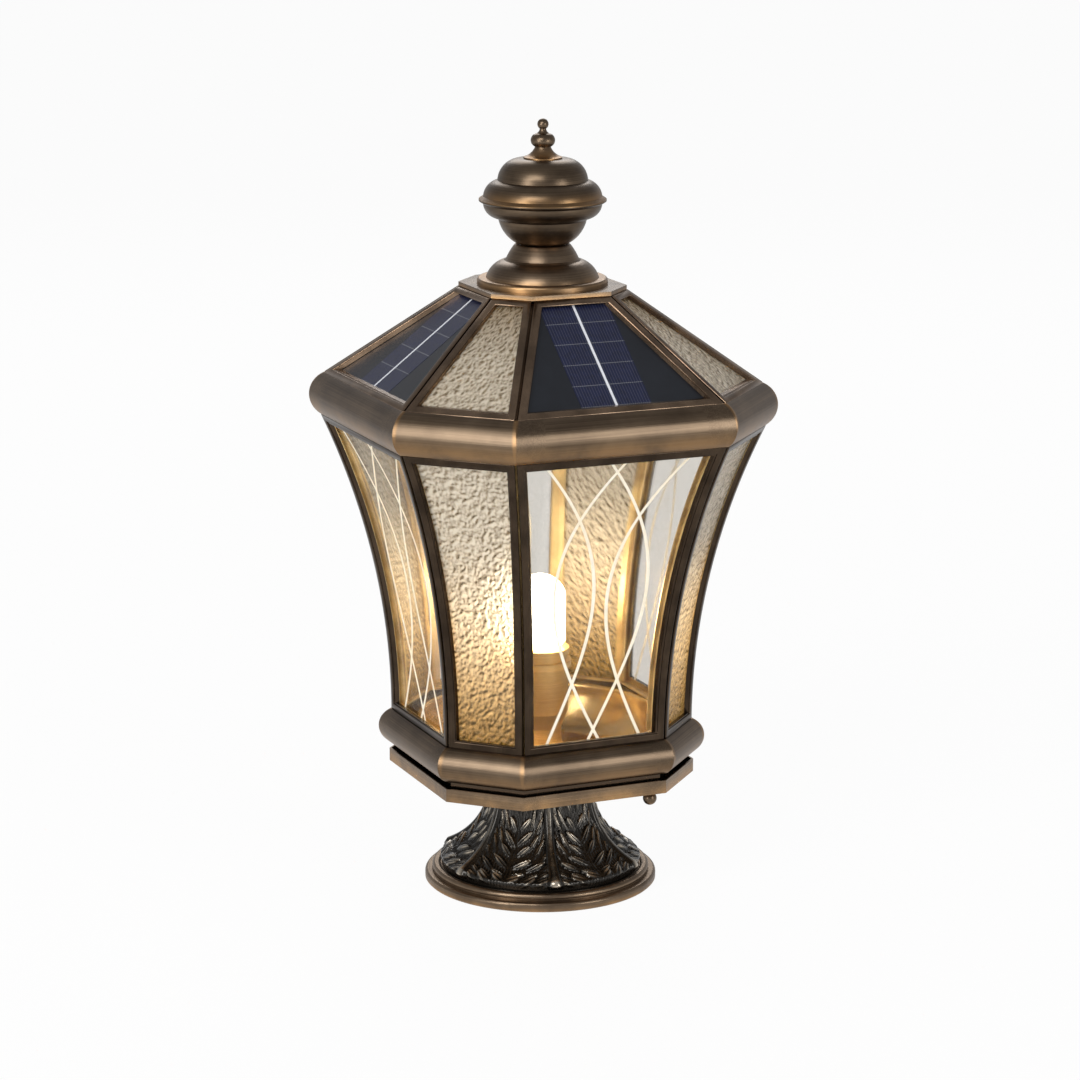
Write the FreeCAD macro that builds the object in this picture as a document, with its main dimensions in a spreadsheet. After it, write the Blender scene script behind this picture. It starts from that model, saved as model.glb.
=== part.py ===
"""Solar pillar lamp: an eight-sided lantern on a cast leaf foot, in millimetres, +Z up.

The origin is the centre of the foot's underside. Four wide faces look along X and Y,
and four narrow faces look along the diagonals. Every wide face of the roof carries a
solar panel, and every other opening is glazed.
"""
import FreeCAD, Part
import math
import os
import re

import Sketcher

Vector = FreeCAD.Vector
UP = Vector(0, 0, 1)

# Driving sizes in millimetres and degrees, by the piece that they belong to
SIZES = {
    # Plan of the eight-sided pieces
    "wide_sector": 59.6,
    # Foot flange and the plate under it
    "flange_radius": 85.5,
    "flange_rim_width": 5.5,
    "flange_rim_height": 7.0,
    "flange_rim_round": 2.4,
    "bead_width": 6.0,
    "bead_height": 12.0,
    "web_thickness": 2.5,
    "web_bore": 60.0,
    "plate_recess": 5.5,
    "plate_thickness": 2.5,
    "bolt_circle": 100.0,
    "bolt_hole": 7.0,
    # Foot casting
    "foot_height": 74.5,
    "foot_neck_radius": 37.5,
    "foot_neck_length": 14.0,
    "foot_wall": 4.0,
    "foot_crown": 4.0,
    "toe_height": 7.0,
    "toe_clearance": 0.6,
    "leaf_count": 6,
    "leaf_turn": 15.0,
    "flare_sweep": 66.0,
    "rib_height": 3.0,
    "rib_width": 3.4,
    "lobe_height": 1.9,
    "lobe_rows": 6.0,
    "curl_height": 5.0,
    # Tray and the lantern's floor pan
    "sheet": 1.2,
    "tray_apothem": 97.8,
    "tray_depth": 9.5,
    "pan_apothem": 93.0,
    "pan_height": 38.8,
    "pan_opening": 52.0,
    "pan_collar": 9.0,
    # Mouldings
    "moulding_sheet": 1.5,
    "base_moulding_height": 25.5,
    "base_moulding_edge": 1.2,
    "base_moulding_bulge": 8.0,
    "cornice_height": 30.5,
    "cornice_edge": 0.8,
    "cornice_bulge": 8.6,
    "cornice_web": 14.0,
    # Lantern body
    "body_bottom_apothem": 96.2,
    "body_top_apothem": 140.0,
    "body_height": 221.0,
    "frame_gap": 2.0,
    "solder_gap": 0.1,
    "frame_stile": 5.5,
    "frame_rail": 6.0,
    "frame_lip": 3.0,
    "frame_depth": 8.0,
    "frame_flange": 1.5,
    "pane_thickness": 3.0,
    "pane_clearance": 0.3,
    # Roof
    "roof_setback": 2.7,
    "roof_top_apothem": 51.8,
    "roof_height": 65.5,
    "roof_rail": 3.2,
    "roof_depth": 6.5,
    "roof_lip": 2.4,
    "roof_pane_thickness": 2.6,
    "crown_overhang": 0.8,
    "crown_thickness": 3.0,
    # Turned and spun pieces on the crown
    "spun_wall": 1.2,
    "neck_flange_width": 6.4,
    "neck_flange_height": 4.6,
    "neck_flange_round": 2.2,
    "neck_lower_radius": 40.5,
    "neck_lower_bulge": 2.4,
    "neck_step_height": 17.0,
    "neck_step_radius": 27.5,
    "neck_step_width": 1.5,
    "neck_upper_bulge": 0.4,
    "neck_seat_height": 27.3,
    "neck_lip_gap": 3.6,
    "neck_lip_width": 2.4,
    "neck_lip_height": 0.8,
    "bowl_height": 32.8,
    "bowl_seat_radius": 14.0,
    "bowl_belly_bulge": 3.6,
    "bowl_step_height": 19.0,
    "bowl_step_radius": 31.6,
    "bowl_step_width": 2.0,
    "bowl_shoulder_radius": 42.5,
    "bowl_shoulder_bulge": 2.4,
    "rim_width": 3.1,
    "rim_edge": 0.6,
    "rim_slope": 2.0,
    "dome_height": 29.5,
    "dome_tier_bulge": 2.0,
    "dome_step_height": 13.4,
    "dome_step_radius": 32.3,
    "dome_step_width": 1.8,
    "dome_crown_bulge": 4.5,
    "dome_top_radius": 16.0,
    "knob_height": 28.2,
    "knob_foot_radius": 13.8,
    "knob_foot_edge": 1.0,
    "knob_flare_bulge": 1.3,
    "knob_waist_radius": 5.6,
    "knob_waist_height": 8.2,
    "knob_bulb_bulge": 3.6,
    "knob_bulb_top_radius": 4.6,
    "knob_bulb_height": 9.4,
    "knob_neck_bulge": 0.5,
    "knob_neck_radius": 2.3,
    "knob_ball_radius": 4.0,
    # Threaded rods, nuts and studs
    "rod_radius": 3.0,
    "rod_tail": 12.0,
    "rod_grip": 12.0,
    "rod_nut_flats": 10.0,
    "rod_nut_height": 5.0,
    "nipple_radius": 5.0,
    "nipple_bore": 3.4,
    "nipple_grip": 10.0,
    "nipple_nut_flats": 16.0,
    "nipple_nut_height": 4.5,
    "thread_clearance": 0.05,
    "hole_clearance": 0.3,
    "stud_inset": 8.7,
    "stud_radius": 2.0,
    "stud_head_radius": 4.5,
    "stud_head_height": 2.0,
    "nut_ball_radius": 5.0,
    "nut_collar_radius": 3.4,
    "nut_collar_height": 2.4,
    "nut_gap": 0.3,
    # Lamp holder, bulb and the parts inside the foot
    "cup_radius": 24.0,
    "cup_height": 30.0,
    "cup_wall": 1.5,
    "cup_top_radius": 15.0,
    "holder_radius": 20.0,
    "holder_height": 46.0,
    "holder_base": 12.0,
    "holder_bore": 13.5,
    "ring_radius": 22.0,
    "ring_height": 14.0,
    "cap_radius": 13.2,
    "cap_length": 27.0,
    "bulb_radius": 17.5,
    "bulb_height": 54.0,
    "bulb_shoulder": 5.0,
    "bulb_dome": 14.0,
    "cell_radius": 9.2,
    "cell_length": 66.0,
    "controller_width": 30.0,
    "controller_depth": 12.0,
    "controller_height": 42.0,
    "pack_gap": 1.8,
}

# Levels above the floor, as formulas in the sheet's names
PLATE_TOP = "(plate_recess + plate_thickness)"
FOOT_SEAT = f"({PLATE_TOP} + web_thickness)"
TRAY_BOTTOM = f"({FOOT_SEAT} + foot_height)"
TRAY_FLOOR = f"({TRAY_BOTTOM} + sheet)"
PAN_FLOOR = f"({TRAY_FLOOR} + sheet)"
BODY_BOTTOM = f"({TRAY_FLOOR} + pan_height)"
BODY_TOP = f"({BODY_BOTTOM} + body_height)"
ROOF_BOTTOM = f"({BODY_TOP} + cornice_height)"
ROOF_TOP = f"({ROOF_BOTTOM} + roof_height)"
CROWN_TOP = f"({ROOF_TOP} + crown_thickness)"
BOWL_SEAT = f"({CROWN_TOP} + neck_seat_height)"
RIM_LEVEL = f"({BOWL_SEAT} + bowl_height)"
KNOB_SEAT = f"({RIM_LEVEL} + dome_height)"
CUP_TOP = f"({TRAY_FLOOR} + cup_height)"
HOLDER_TOP = f"({CUP_TOP} + holder_height)"
BULB_SEAT = f"({HOLDER_TOP} + ring_height)"
CONTACT = f"({BULB_SEAT} - cap_length)"

BEAD_OUTER = "(flange_radius - flange_rim_width)"
BEAD_INNER = f"({BEAD_OUTER} - bead_width)"
TOE_RADIUS = f"({BEAD_INNER} - toe_clearance)"
ROOF_BOTTOM_APOTHEM = "(body_top_apothem - roof_setback)"
NIPPLE_HOLE = "(nipple_radius + hole_clearance)"
ROD_HOLE = "(rod_radius + hole_clearance)"
RIM_RADIUS = "(bowl_shoulder_radius + rim_width)"

# Height of a quarter round over its chord, as a share of its radius
QUARTER_BULGE = 0.2929
# Height of the bead's flat arcs over their chords, as a share of the bead's rise
BEAD_BULGE = 0.4
# The sleeve's ends are just under half round
SLEEVE_ROUND = 0.98
# Half the turn from one face of the plan to the next, in degrees
HALF_TURN = 22.5

# Direction of each face, in degrees about +Z from +X
WIDE_FACES = {"front": -90, "right": 0, "back": 90, "left": 180}
NARROW_FACES = {"front_right": -45, "back_right": 45, "back_left": 135, "front_left": -135}

doc = FreeCAD.newDocument("pillar_lamp")
sheet = doc.addObject("Spreadsheet::Sheet", "sizes")
for row, (alias, size) in enumerate(SIZES.items(), start=1):
    sheet.set(f"A{row}", alias.replace("_", " "))
    sheet.set(f"B{row}", str(size))
    sheet.setAlias(f"B{row}", alias)
doc.recompute()

finished = []


def bound(formula):
    """Turn a formula in plain size names into an expression on the sheet's cells."""
    def cell(match):
        word = match.group()
        return f"sizes.{word}" if word in SIZES else word
    return re.sub(r"[a-z][a-z_0-9]*", cell, formula)


def value(formula):
    """Work a formula out to a plain number."""
    result = sheet.evalExpression(bound(formula))
    return float(getattr(result, "Value", result))


def bind(item, path, formula):
    """Tie one property of an object to a formula on the sheet."""
    item.setExpression(path, bound(formula))


def finish(item, label):
    """Give a sub-part its node name and put it on the list of pieces to write."""
    item.Label = label
    finished.append(item)
    return item


def turn_to(item, degrees):
    """Turn a piece that was drawn facing +X to its own side of the lamp."""
    item.Placement = FreeCAD.Placement(Vector(), FreeCAD.Rotation(UP, degrees))


# Sketches


def new_body(name):
    return doc.addObject("PartDesign::Body", name)


def new_sketch(body, role, level="0"):
    """A sketch on one of the body's own origin planes, raised to a level."""
    plane = next(item for item in body.Origin.OriginFeatures if item.Role == role)
    sketch = body.newObject("Sketcher::SketchObject", f"{body.Name}_sketch")
    sketch.AttachmentSupport = [(plane, "")]
    sketch.MapMode = "FlatFace"
    if level != "0":
        bind(sketch, "AttachmentOffset.Base.z", level)
    return sketch


def pin(sketch, geometry, end, x, y):
    """Hold a point at a place given by two formulas."""
    for kind, axis, formula in (("DistanceX", -2, x), ("DistanceY", -1, y)):
        if formula == "0":
            sketch.addConstraint(Sketcher.Constraint("PointOnObject", geometry, end, axis))
            continue
        rule = Sketcher.Constraint(kind, -1, 1, geometry, end, value(formula))
        index = sketch.addConstraint(rule)
        bind(sketch, f"Constraints[{index}]", formula)


def draw_outline(sketch, corners):
    """Draw a closed outline through corners (x, y), or (x, y, bulge) where an arc starts.

    The bulge is the height of the arc over its chord, positive to the left of the way ahead.
    """
    points = [Vector(value(corner[0]), value(corner[1]), 0) for corner in corners]
    count = len(corners)
    ends = []
    for index, corner in enumerate(corners):
        start = points[index]
        stop = points[(index + 1) % count]
        if len(corner) == 2:
            geometry = sketch.addGeometry(Part.LineSegment(start, stop))
            ends.append((geometry, 1, 2))
            continue
        chord = stop - start
        left = Vector(-chord.y, chord.x, 0).normalize()
        bulge = value(corner[2])
        middle = (start + stop) * 0.5 + left * bulge
        if bulge < 0:
            geometry = sketch.addGeometry(Part.Arc(start, middle, stop))
            ends.append((geometry, 1, 2))
        else:
            geometry = sketch.addGeometry(Part.Arc(stop, middle, start))
            ends.append((geometry, 2, 1))
    for index, corner in enumerate(corners):
        geometry, start, stop = ends[index]
        following = ends[(index + 1) % count]
        joint = Sketcher.Constraint("Coincident", geometry, stop, following[0], following[1])
        sketch.addConstraint(joint)
        pin(sketch, geometry, start, corner[0], corner[1])
        if len(corner) == 3:
            pin_centre(sketch, geometry, corner, corners[(index + 1) % count])


def pin_centre(sketch, geometry, corner, after):
    """Hold an arc's centre, along the axis that lies more across its chord."""
    run = f"(({after[0]}) - ({corner[0]}))"
    rise = f"(({after[1]}) - ({corner[1]}))"
    chord = f"sqrt({run}^2 + {rise}^2)"
    bulge = f"({corner[2]})"
    offset = f"({bulge} / 2 - ({run}^2 + {rise}^2) / (8 * {bulge})) / {chord}"
    if abs(value(rise)) > abs(value(run)):
        kind = "DistanceX"
        place = f"(({corner[0]}) + ({after[0]})) / 2 - {rise} * {offset}"
    else:
        kind = "DistanceY"
        place = f"(({corner[1]}) + ({after[1]})) / 2 + {run} * {offset}"
    rule = Sketcher.Constraint(kind, -1, 1, geometry, 3, value(place))
    index = sketch.addConstraint(rule)
    bind(sketch, f"Constraints[{index}]", place)


def draw_circle(sketch, radius, x="0", y="0"):
    centre = Vector(value(x), value(y), 0)
    geometry = sketch.addGeometry(Part.Circle(centre, UP, value(radius)))
    pin(sketch, geometry, 3, x, y)
    index = sketch.addConstraint(Sketcher.Constraint("Radius", geometry, value(radius)))
    bind(sketch, f"Constraints[{index}]", radius)


# Features


def add_feature(body, kind, sketch, length, symmetric=False, upward=None):
    """A pad or a pocket from a sketch, both ways from it or along +Z of the sketch."""
    feature = body.newObject(f"PartDesign::{kind}", f"{body.Name}_{kind.lower()}")
    feature.Profile = sketch
    bind(feature, "Length", length)
    if symmetric:
        feature.SideType = "Symmetric"
    if upward is not None:
        feature.Reversed = upward == (kind == "Pocket")
    return feature


def revolve(label, corners):
    """A turned piece: an outline of (radius, height) corners spun about the lamp's axis."""
    body = new_body(label)
    sketch = new_sketch(body, "XZ_Plane")
    draw_outline(sketch, corners)
    feature = body.newObject("PartDesign::Revolution", f"{label}_revolution")
    feature.Profile = sketch
    feature.ReferenceAxis = (sketch, ["V_Axis"])
    feature.Angle = 360
    return body


def cap_bulge(radius, rise):
    """Bulge of an arc from a radius up or down to the axis, with its centre on the axis."""
    chord = f"(({radius})^2 + ({rise})^2)"
    bend = f"({chord} / (2 * ({rise})))"
    return f"({bend} - sqrt({bend}^2 - {chord} / 4))"


def octagon(apothem):
    """Corners of an eight-sided plan with the given distance from axis to wide face."""
    half = f"({apothem}) * tan(wide_sector / 2)"
    far = f"({apothem})"
    return [
        (far, f"0 - {half}"), (far, half), (half, far), (f"0 - {half}", far),
        (f"0 - {far}", half), (f"0 - {far}", f"0 - {half}"),
        (f"0 - {half}", f"0 - {far}"), (half, f"0 - {far}"),
    ]


def parallel_octagon(apothem, inset):
    """The same plan with every face moved in by one distance, as a folded sheet has it."""
    half = f"(({apothem}) * tan(wide_sector / 2) - ({inset}) * tan({HALF_TURN}))"
    far = f"(({apothem}) - ({inset}))"
    return [
        (far, f"0 - {half}"), (far, half), (half, far), (f"0 - {half}", far),
        (f"0 - {far}", half), (f"0 - {far}", f"0 - {half}"),
        (f"0 - {half}", f"0 - {far}"), (half, f"0 - {far}"),
    ]


def hexagon(flats):
    """Corners of a nut's outline across flats."""
    far = f"(({flats}) / sqrt(3))"
    flat = f"(({flats}) / 2)"
    return [
        (far, "0"), (f"{far} / 2", flat), (f"0 - {far} / 2", flat),
        (f"0 - {far}", "0"), (f"0 - {far} / 2", f"0 - {flat}"), (f"{far} / 2", f"0 - {flat}"),
    ]


# Glazed faces of the body and the roof


class Face:
    """Radial section of one kind of face: its outer line and parallel lines behind it."""

    def __init__(self, sector, bottom, top, low, high, curved):
        self.sector = sector
        self.bottom = bottom
        self.top = top
        self.low = low
        self.high = high
        self.curved = curved

    def rise(self):
        return f"(({self.high}) - ({self.low}))"

    def spread(self):
        return f"(({self.top}) - ({self.bottom}))"

    def bend(self):
        """Radius of the flare, which leaves its foot upright."""
        return f"(({self.rise()}^2 + {self.spread()}^2) / (2 * {self.spread()}))"

    def reach(self, level, depth):
        """Distance from the axis at a level, on the line that lies a depth behind the face."""
        if self.curved:
            bend = f"({self.bend()} + ({depth}))"
            run = f"(({level}) - ({self.low}))"
            return f"(({self.bottom}) + {self.bend()} - sqrt({bend}^2 - {run}^2))"
        slope = f"({self.spread()} / {self.rise()})"
        inward = f"(({depth}) * sqrt(1 + {slope}^2))"
        return f"(({self.bottom}) + (({level}) - ({self.low})) * {slope} - {inward})"

    def sag(self, low, high, depth):
        """Height of the flare's arc over its chord between two levels."""
        bend = f"({self.bend()} + ({depth}))"
        run = f"(({high}) - ({low}))"
        step = f"({self.reach(high, depth)} - {self.reach(low, depth)})"
        return f"({bend} - sqrt({bend}^2 - ({run}^2 + {step}^2) / 4))"

    def slab(self, name, low, high, front, behind, inset):
        """A sheet that follows the face between two depths, cut in from the corners' planes."""
        body = new_body(name)
        section = new_sketch(body, "XZ_Plane")
        corners = [
            [self.reach(low, front), low],
            [self.reach(high, front), high],
            [self.reach(high, behind), high],
            [self.reach(low, behind), low],
        ]
        if self.curved:
            corners[0].append(self.sag(low, high, front))
            corners[2].append(f"0 - {self.sag(low, high, behind)}")
        draw_outline(section, corners)
        widest = f"max({self.reach(high, front)}; {self.reach(low, front)})"
        add_feature(body, "Pad", section, f"2 * {widest} * tan({self.sector})", symmetric=True)
        plan = new_sketch(body, "XY_Plane")
        near = f"(min({self.reach(low, behind)}; {self.reach(high, behind)}) - frame_depth)"
        far = f"(max({self.reach(low, front)}; {self.reach(high, front)}) + frame_depth)"
        for side in ("", "0 - "):
            edge = [f"{side}({x} * tan({self.sector}) - ({inset}) / cos({self.sector}))"
                    for x in (near, far)]
            outside = f"{side}({far} * tan({self.sector}) + frame_depth)"
            draw_outline(plan, [(near, edge[0]), (far, edge[1]), (far, outside), (near, outside)])
        add_feature(body, "Pocket", plan, f"2 * ({high}) + frame_depth", symmetric=True)
        return body

    def frame(self, label, degrees, rail, lip, depth):
        """A picture frame of angle section: a lip in front, and a flange soldered to the next one."""
        low = self.low
        high = self.high
        front = self.slab(f"{label}_front", low, high, "0", lip, "frame_gap / 2")
        rear = self.slab(f"{label}_rear", low, high, lip, depth, "solder_gap / 2")
        blank = doc.addObject("Part::Fuse", f"{label}_blank")
        blank.Base = front
        blank.Tool = rear
        rebate = self.slab(
            f"{label}_rebate", f"({low}) + frame_flange", f"({high}) - frame_flange",
            lip, f"({depth}) + frame_flange", "frame_gap / 2 + frame_flange")
        window = self.slab(
            f"{label}_window", f"({low}) + ({rail})", f"({high}) - ({rail})",
            "0 - frame_flange", f"({depth}) + frame_flange", "frame_gap / 2 + frame_stile")
        rebated = doc.addObject("Part::Cut", f"{label}_rebated")
        rebated.Base = blank
        rebated.Tool = rebate
        cut = doc.addObject("Part::Cut", label)
        cut.Base = rebated
        cut.Tool = window
        turn_to(cut, degrees)
        return finish(cut, label)

    def pane(self, label, degrees, lip, thickness):
        """The sheet of glass that stands on the frame's lower flange, behind its lip."""
        front = f"(({lip}) + pane_clearance)"
        body = self.slab(
            label, f"({self.low}) + frame_flange", f"({self.high}) - frame_flange - pane_clearance",
            front, f"{front} + ({thickness})", "frame_gap / 2 + frame_flange + pane_clearance")
        turn_to(body, degrees)
        return finish(body, label)


WIDE_HALF = "(wide_sector / 2)"
NARROW_HALF = "(45 - wide_sector / 2)"
NARROW_RATIO = f"(cos({NARROW_HALF}) / cos({WIDE_HALF}))"


def make_faces():
    """Frames, panes and solar panels of the body and the roof, face by face."""
    kinds = (
        (WIDE_FACES, WIDE_HALF, "1", "etched_pane", "solar_panel"),
        (NARROW_FACES, NARROW_HALF, NARROW_RATIO, "hammered_pane", "roof_pane"),
    )
    for faces, half, ratio, pane, cover in kinds:
        body_face = Face(
            half, f"body_bottom_apothem * {ratio}", f"body_top_apothem * {ratio}",
            BODY_BOTTOM, BODY_TOP, curved=True)
        roof_face = Face(
            half, f"{ROOF_BOTTOM_APOTHEM} * {ratio}", f"roof_top_apothem * {ratio}",
            ROOF_BOTTOM, ROOF_TOP, curved=False)
        for side, degrees in faces.items():
            body_face.frame(f"body_frame_{side}", degrees, "frame_rail", "frame_lip", "frame_depth")
            body_face.pane(f"{pane}_{side}", degrees, "frame_lip", "pane_thickness")
            roof_face.frame(f"roof_frame_{side}", degrees, "roof_rail", "roof_lip", "roof_depth")
            roof_face.pane(f"{cover}_{side}", degrees, "roof_lip", "roof_pane_thickness")


# Roll mouldings of eight mitred lengths


def make_moulding(label, apothem, section):
    """Solder eight lengths of one section into a ring, mitred at the corners of a plan."""
    wide_half = f"(({apothem}) * tan({WIDE_HALF}))"
    narrow_apothem = f"((({apothem}) + {wide_half}) / sqrt(2))"
    narrow_half = f"((({apothem}) - {wide_half}) / sqrt(2))"
    kinds = (
        (WIDE_FACES, f"({apothem})", wide_half),
        (NARROW_FACES, narrow_apothem, narrow_half),
    )
    lengths = []
    for faces, centre, half in kinds:
        for side, degrees in faces.items():
            body = new_body(f"{label}_{side}")
            profile = new_sketch(body, "XZ_Plane")
            draw_outline(profile, section(centre))
            reach = f"({centre} + 2 * {label}_bulge)"
            near = f"({centre} - 2 * cornice_web)"
            longest = f"({half} + ({reach} - {centre}) * tan({HALF_TURN}))"
            add_feature(body, "Pad", profile, f"2 * {longest}", symmetric=True)
            plan = new_sketch(body, "XY_Plane")
            for sign in ("", "0 - "):
                edge = [f"{sign}({half} + ({x} - {centre}) * tan({HALF_TURN}))" for x in (near, reach)]
                outside = f"{sign}({longest} + cornice_web)"
                draw_outline(
                    plan, [(near, edge[0]), (reach, edge[1]), (reach, outside), (near, outside)])
            add_feature(body, "Pocket", plan, f"2 * {ROOF_TOP}", symmetric=True)
            turn_to(body, degrees)
            lengths.append(body)
    ring = doc.addObject("Part::MultiFuse", label)
    ring.Shapes = lengths
    return finish(ring, label)


def cornice_section(face):
    """Half-round roll over a bottom web that covers the body's frames and a top web for the roof."""
    low = BODY_TOP
    high = ROOF_BOTTOM
    foot = f"({face} + cornice_edge)"
    head = f"({face} - roof_setback + cornice_edge)"
    return [
        (f"{face} - cornice_web", low),
        (foot, low, "0 - cornice_bulge"),
        (head, high),
        (f"{face} - cornice_web - roof_setback", high),
        (f"{face} - cornice_web - roof_setback", f"{high} - moulding_sheet"),
        (head, f"{high} - moulding_sheet", "cornice_bulge - moulding_sheet"),
        (foot, f"{low} + moulding_sheet"),
        (f"{face} - cornice_web", f"{low} + moulding_sheet"),
    ]


def base_moulding_section(face):
    """Half-round roll whose webs butt against the floor pan's wall."""
    high = BODY_BOTTOM
    low = f"({BODY_BOTTOM} - base_moulding_height)"
    wall = f"({face} + solder_gap)"
    edge = f"({face} + body_bottom_apothem - pan_apothem + base_moulding_edge)"
    return [
        (wall, low),
        (edge, low, "0 - base_moulding_bulge"),
        (edge, high),
        (wall, high),
        (wall, f"{high} - moulding_sheet"),
        (edge, f"{high} - moulding_sheet", "base_moulding_bulge - moulding_sheet"),
        (edge, f"{low} + moulding_sheet"),
        (wall, f"{low} + moulding_sheet"),
    ]


# Turned and spun pieces on the crown


def make_crown():
    body = new_body("crown_plate")
    plan = new_sketch(body, "XY_Plane", ROOF_TOP)
    draw_outline(plan, octagon("roof_top_apothem + crown_overhang"))
    add_feature(body, "Pad", plan, "crown_thickness", upward=True)
    hole = new_sketch(body, "XY_Plane", ROOF_TOP)
    draw_circle(hole, ROD_HOLE)
    add_feature(body, "Pocket", hole, "crown_thickness", upward=True)
    return finish(body, "crown_plate")


def make_neck_cap():
    """Two-tier bell with a round flange below and a rolled lip that cradles the bowl."""
    flange_top = f"({CROWN_TOP} + neck_flange_height)"
    step = f"({CROWN_TOP} + neck_step_height)"
    flange = "(neck_lower_radius + neck_flange_width)"
    lip_inner = "(bowl_seat_radius + neck_lip_gap)"
    lip_outer = f"({lip_inner} + neck_lip_width)"
    lip_top = f"({BOWL_SEAT} + neck_lip_height)"
    inside = f"({BOWL_SEAT} - spun_wall)"
    corners = [
        ("neck_lower_radius - 2 * spun_wall", CROWN_TOP),
        (flange, CROWN_TOP),
        (flange, f"{flange_top} - neck_flange_round", f"0 - neck_flange_round * {QUARTER_BULGE}"),
        (f"{flange} - neck_flange_round", flange_top),
        ("neck_lower_radius", flange_top, "0 - neck_lower_bulge"),
        ("neck_step_radius", step),
        ("neck_step_radius - neck_step_width", f"{step} + spun_wall", "0 - neck_upper_bulge"),
        (lip_outer, lip_top, "0 - neck_lip_height / 2"),
        (lip_inner, lip_top),
        (lip_inner, BOWL_SEAT),
        (ROD_HOLE, BOWL_SEAT),
        (ROD_HOLE, inside),
        (f"{lip_outer} - spun_wall", inside),
        ("neck_step_radius - 2.5 * spun_wall", f"{step} - spun_wall"),
        ("neck_lower_radius - 2 * spun_wall", flange_top),
    ]
    return finish(revolve("neck_cap", corners), "neck_cap")


def make_bowl():
    """Lower half of the vase: a seat, a rounded belly, a step and a flared shoulder."""
    step = f"({BOWL_SEAT} + bowl_step_height)"
    shoulder = f"({RIM_LEVEL} - rim_edge - rim_slope)"
    corners = [
        (ROD_HOLE, BOWL_SEAT),
        ("bowl_seat_radius", BOWL_SEAT, "0 - bowl_belly_bulge"),
        ("bowl_step_radius", step),
        ("bowl_step_radius + bowl_step_width", f"{step} + spun_wall", "0 - bowl_shoulder_bulge"),
        ("bowl_shoulder_radius", shoulder),
        (RIM_RADIUS, f"{RIM_LEVEL} - rim_edge"),
        (RIM_RADIUS, RIM_LEVEL),
        ("bowl_shoulder_radius - spun_wall", RIM_LEVEL),
        ("bowl_shoulder_radius - 1.4 * spun_wall", shoulder, "bowl_shoulder_bulge"),
        ("bowl_step_radius", f"{step} + 2.2 * spun_wall"),
        ("bowl_step_radius - 1.2 * spun_wall", step, "bowl_belly_bulge"),
        ("bowl_seat_radius", f"{BOWL_SEAT} + spun_wall"),
        (ROD_HOLE, f"{BOWL_SEAT} + spun_wall"),
    ]
    return finish(revolve("lower_bowl", corners), "lower_bowl")


def make_dome():
    """Upper half of the vase: a flared rim, a tier and a rounded crown."""
    shoulder = f"({RIM_LEVEL} + rim_edge + rim_slope)"
    step = f"({RIM_LEVEL} + dome_step_height)"
    corners = [
        ("bowl_shoulder_radius - spun_wall", RIM_LEVEL),
        (RIM_RADIUS, RIM_LEVEL),
        (RIM_RADIUS, f"{RIM_LEVEL} + rim_edge"),
        ("bowl_shoulder_radius", shoulder, "0 - dome_tier_bulge"),
        ("dome_step_radius + dome_step_width", step),
        ("dome_step_radius", f"{step} + spun_wall / 2", "0 - dome_crown_bulge"),
        ("dome_top_radius", KNOB_SEAT),
        (ROD_HOLE, KNOB_SEAT),
        (ROD_HOLE, f"{KNOB_SEAT} - spun_wall"),
        ("dome_top_radius", f"{KNOB_SEAT} - spun_wall", "dome_crown_bulge"),
        ("dome_step_radius - 1.2 * spun_wall", f"{step} - spun_wall", "dome_tier_bulge"),
        ("bowl_shoulder_radius - 1.4 * spun_wall", shoulder),
    ]
    return finish(revolve("upper_dome", corners), "upper_dome")


def make_knob():
    """Turned finial with a ball tip and a blind thread for the rod."""
    bore = "(rod_radius + thread_clearance)"
    waist = f"({KNOB_SEAT} + knob_waist_height)"
    bulb_top = f"({waist} + knob_bulb_height)"
    tip = f"({KNOB_SEAT} + knob_height)"
    bore_top = f"({KNOB_SEAT} + rod_grip + hole_clearance)"
    ball_rise = "(knob_ball_radius + sqrt(knob_ball_radius^2 - knob_neck_radius^2))"
    ball_bulge = cap_bulge("knob_neck_radius", ball_rise)
    corners = [
        (bore, KNOB_SEAT),
        ("knob_foot_radius", KNOB_SEAT),
        ("knob_foot_radius", f"{KNOB_SEAT} + knob_foot_edge", "knob_flare_bulge"),
        ("knob_waist_radius", waist, "0 - knob_bulb_bulge"),
        ("knob_bulb_top_radius", bulb_top, "knob_neck_bulge"),
        ("knob_neck_radius", f"{tip} - {ball_rise}", f"0 - {ball_bulge}"),
        ("0", tip),
        ("0", bore_top),
        (bore, bore_top),
    ]
    return finish(revolve("finial_knob", corners), "finial_knob")


def make_nut(name, flats, bore, low, height):
    """A plain hexagon nut standing at a level on the lamp's axis."""
    body = new_body(name)
    outline = new_sketch(body, "XY_Plane", low)
    draw_outline(outline, hexagon(flats))
    add_feature(body, "Pad", outline, height, upward=True)
    hole = new_sketch(body, "XY_Plane", low)
    draw_circle(hole, bore)
    add_feature(body, "Pocket", hole, height, upward=True)
    return body


def make_rod():
    low = f"({ROOF_TOP} - rod_tail)"
    high = f"({KNOB_SEAT} + rod_grip)"
    corners = [("0", low), ("rod_radius", low), ("rod_radius", high), ("0", high)]
    finish(revolve("finial_rod", corners), "finial_rod")
    nut = make_nut("rod_nut", "rod_nut_flats", "rod_radius + thread_clearance",
                   f"{ROOF_TOP} - rod_nut_height", "rod_nut_height")
    finish(nut, "rod_nut")


# Tray, floor pan and the ball nuts that hold the lantern down


def stud_place(sign):
    """Place of a stud, just inside two opposite corners of the tray."""
    angle = f"({WIDE_HALF} - 90)"
    reach = f"(pan_apothem / cos({WIDE_HALF}) - stud_inset)"
    return f"{sign}({reach} * cos({angle}))", f"{sign}({reach} * sin({angle}))"


STUD_SIDES = {"right": "", "left": "0 - "}


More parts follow.
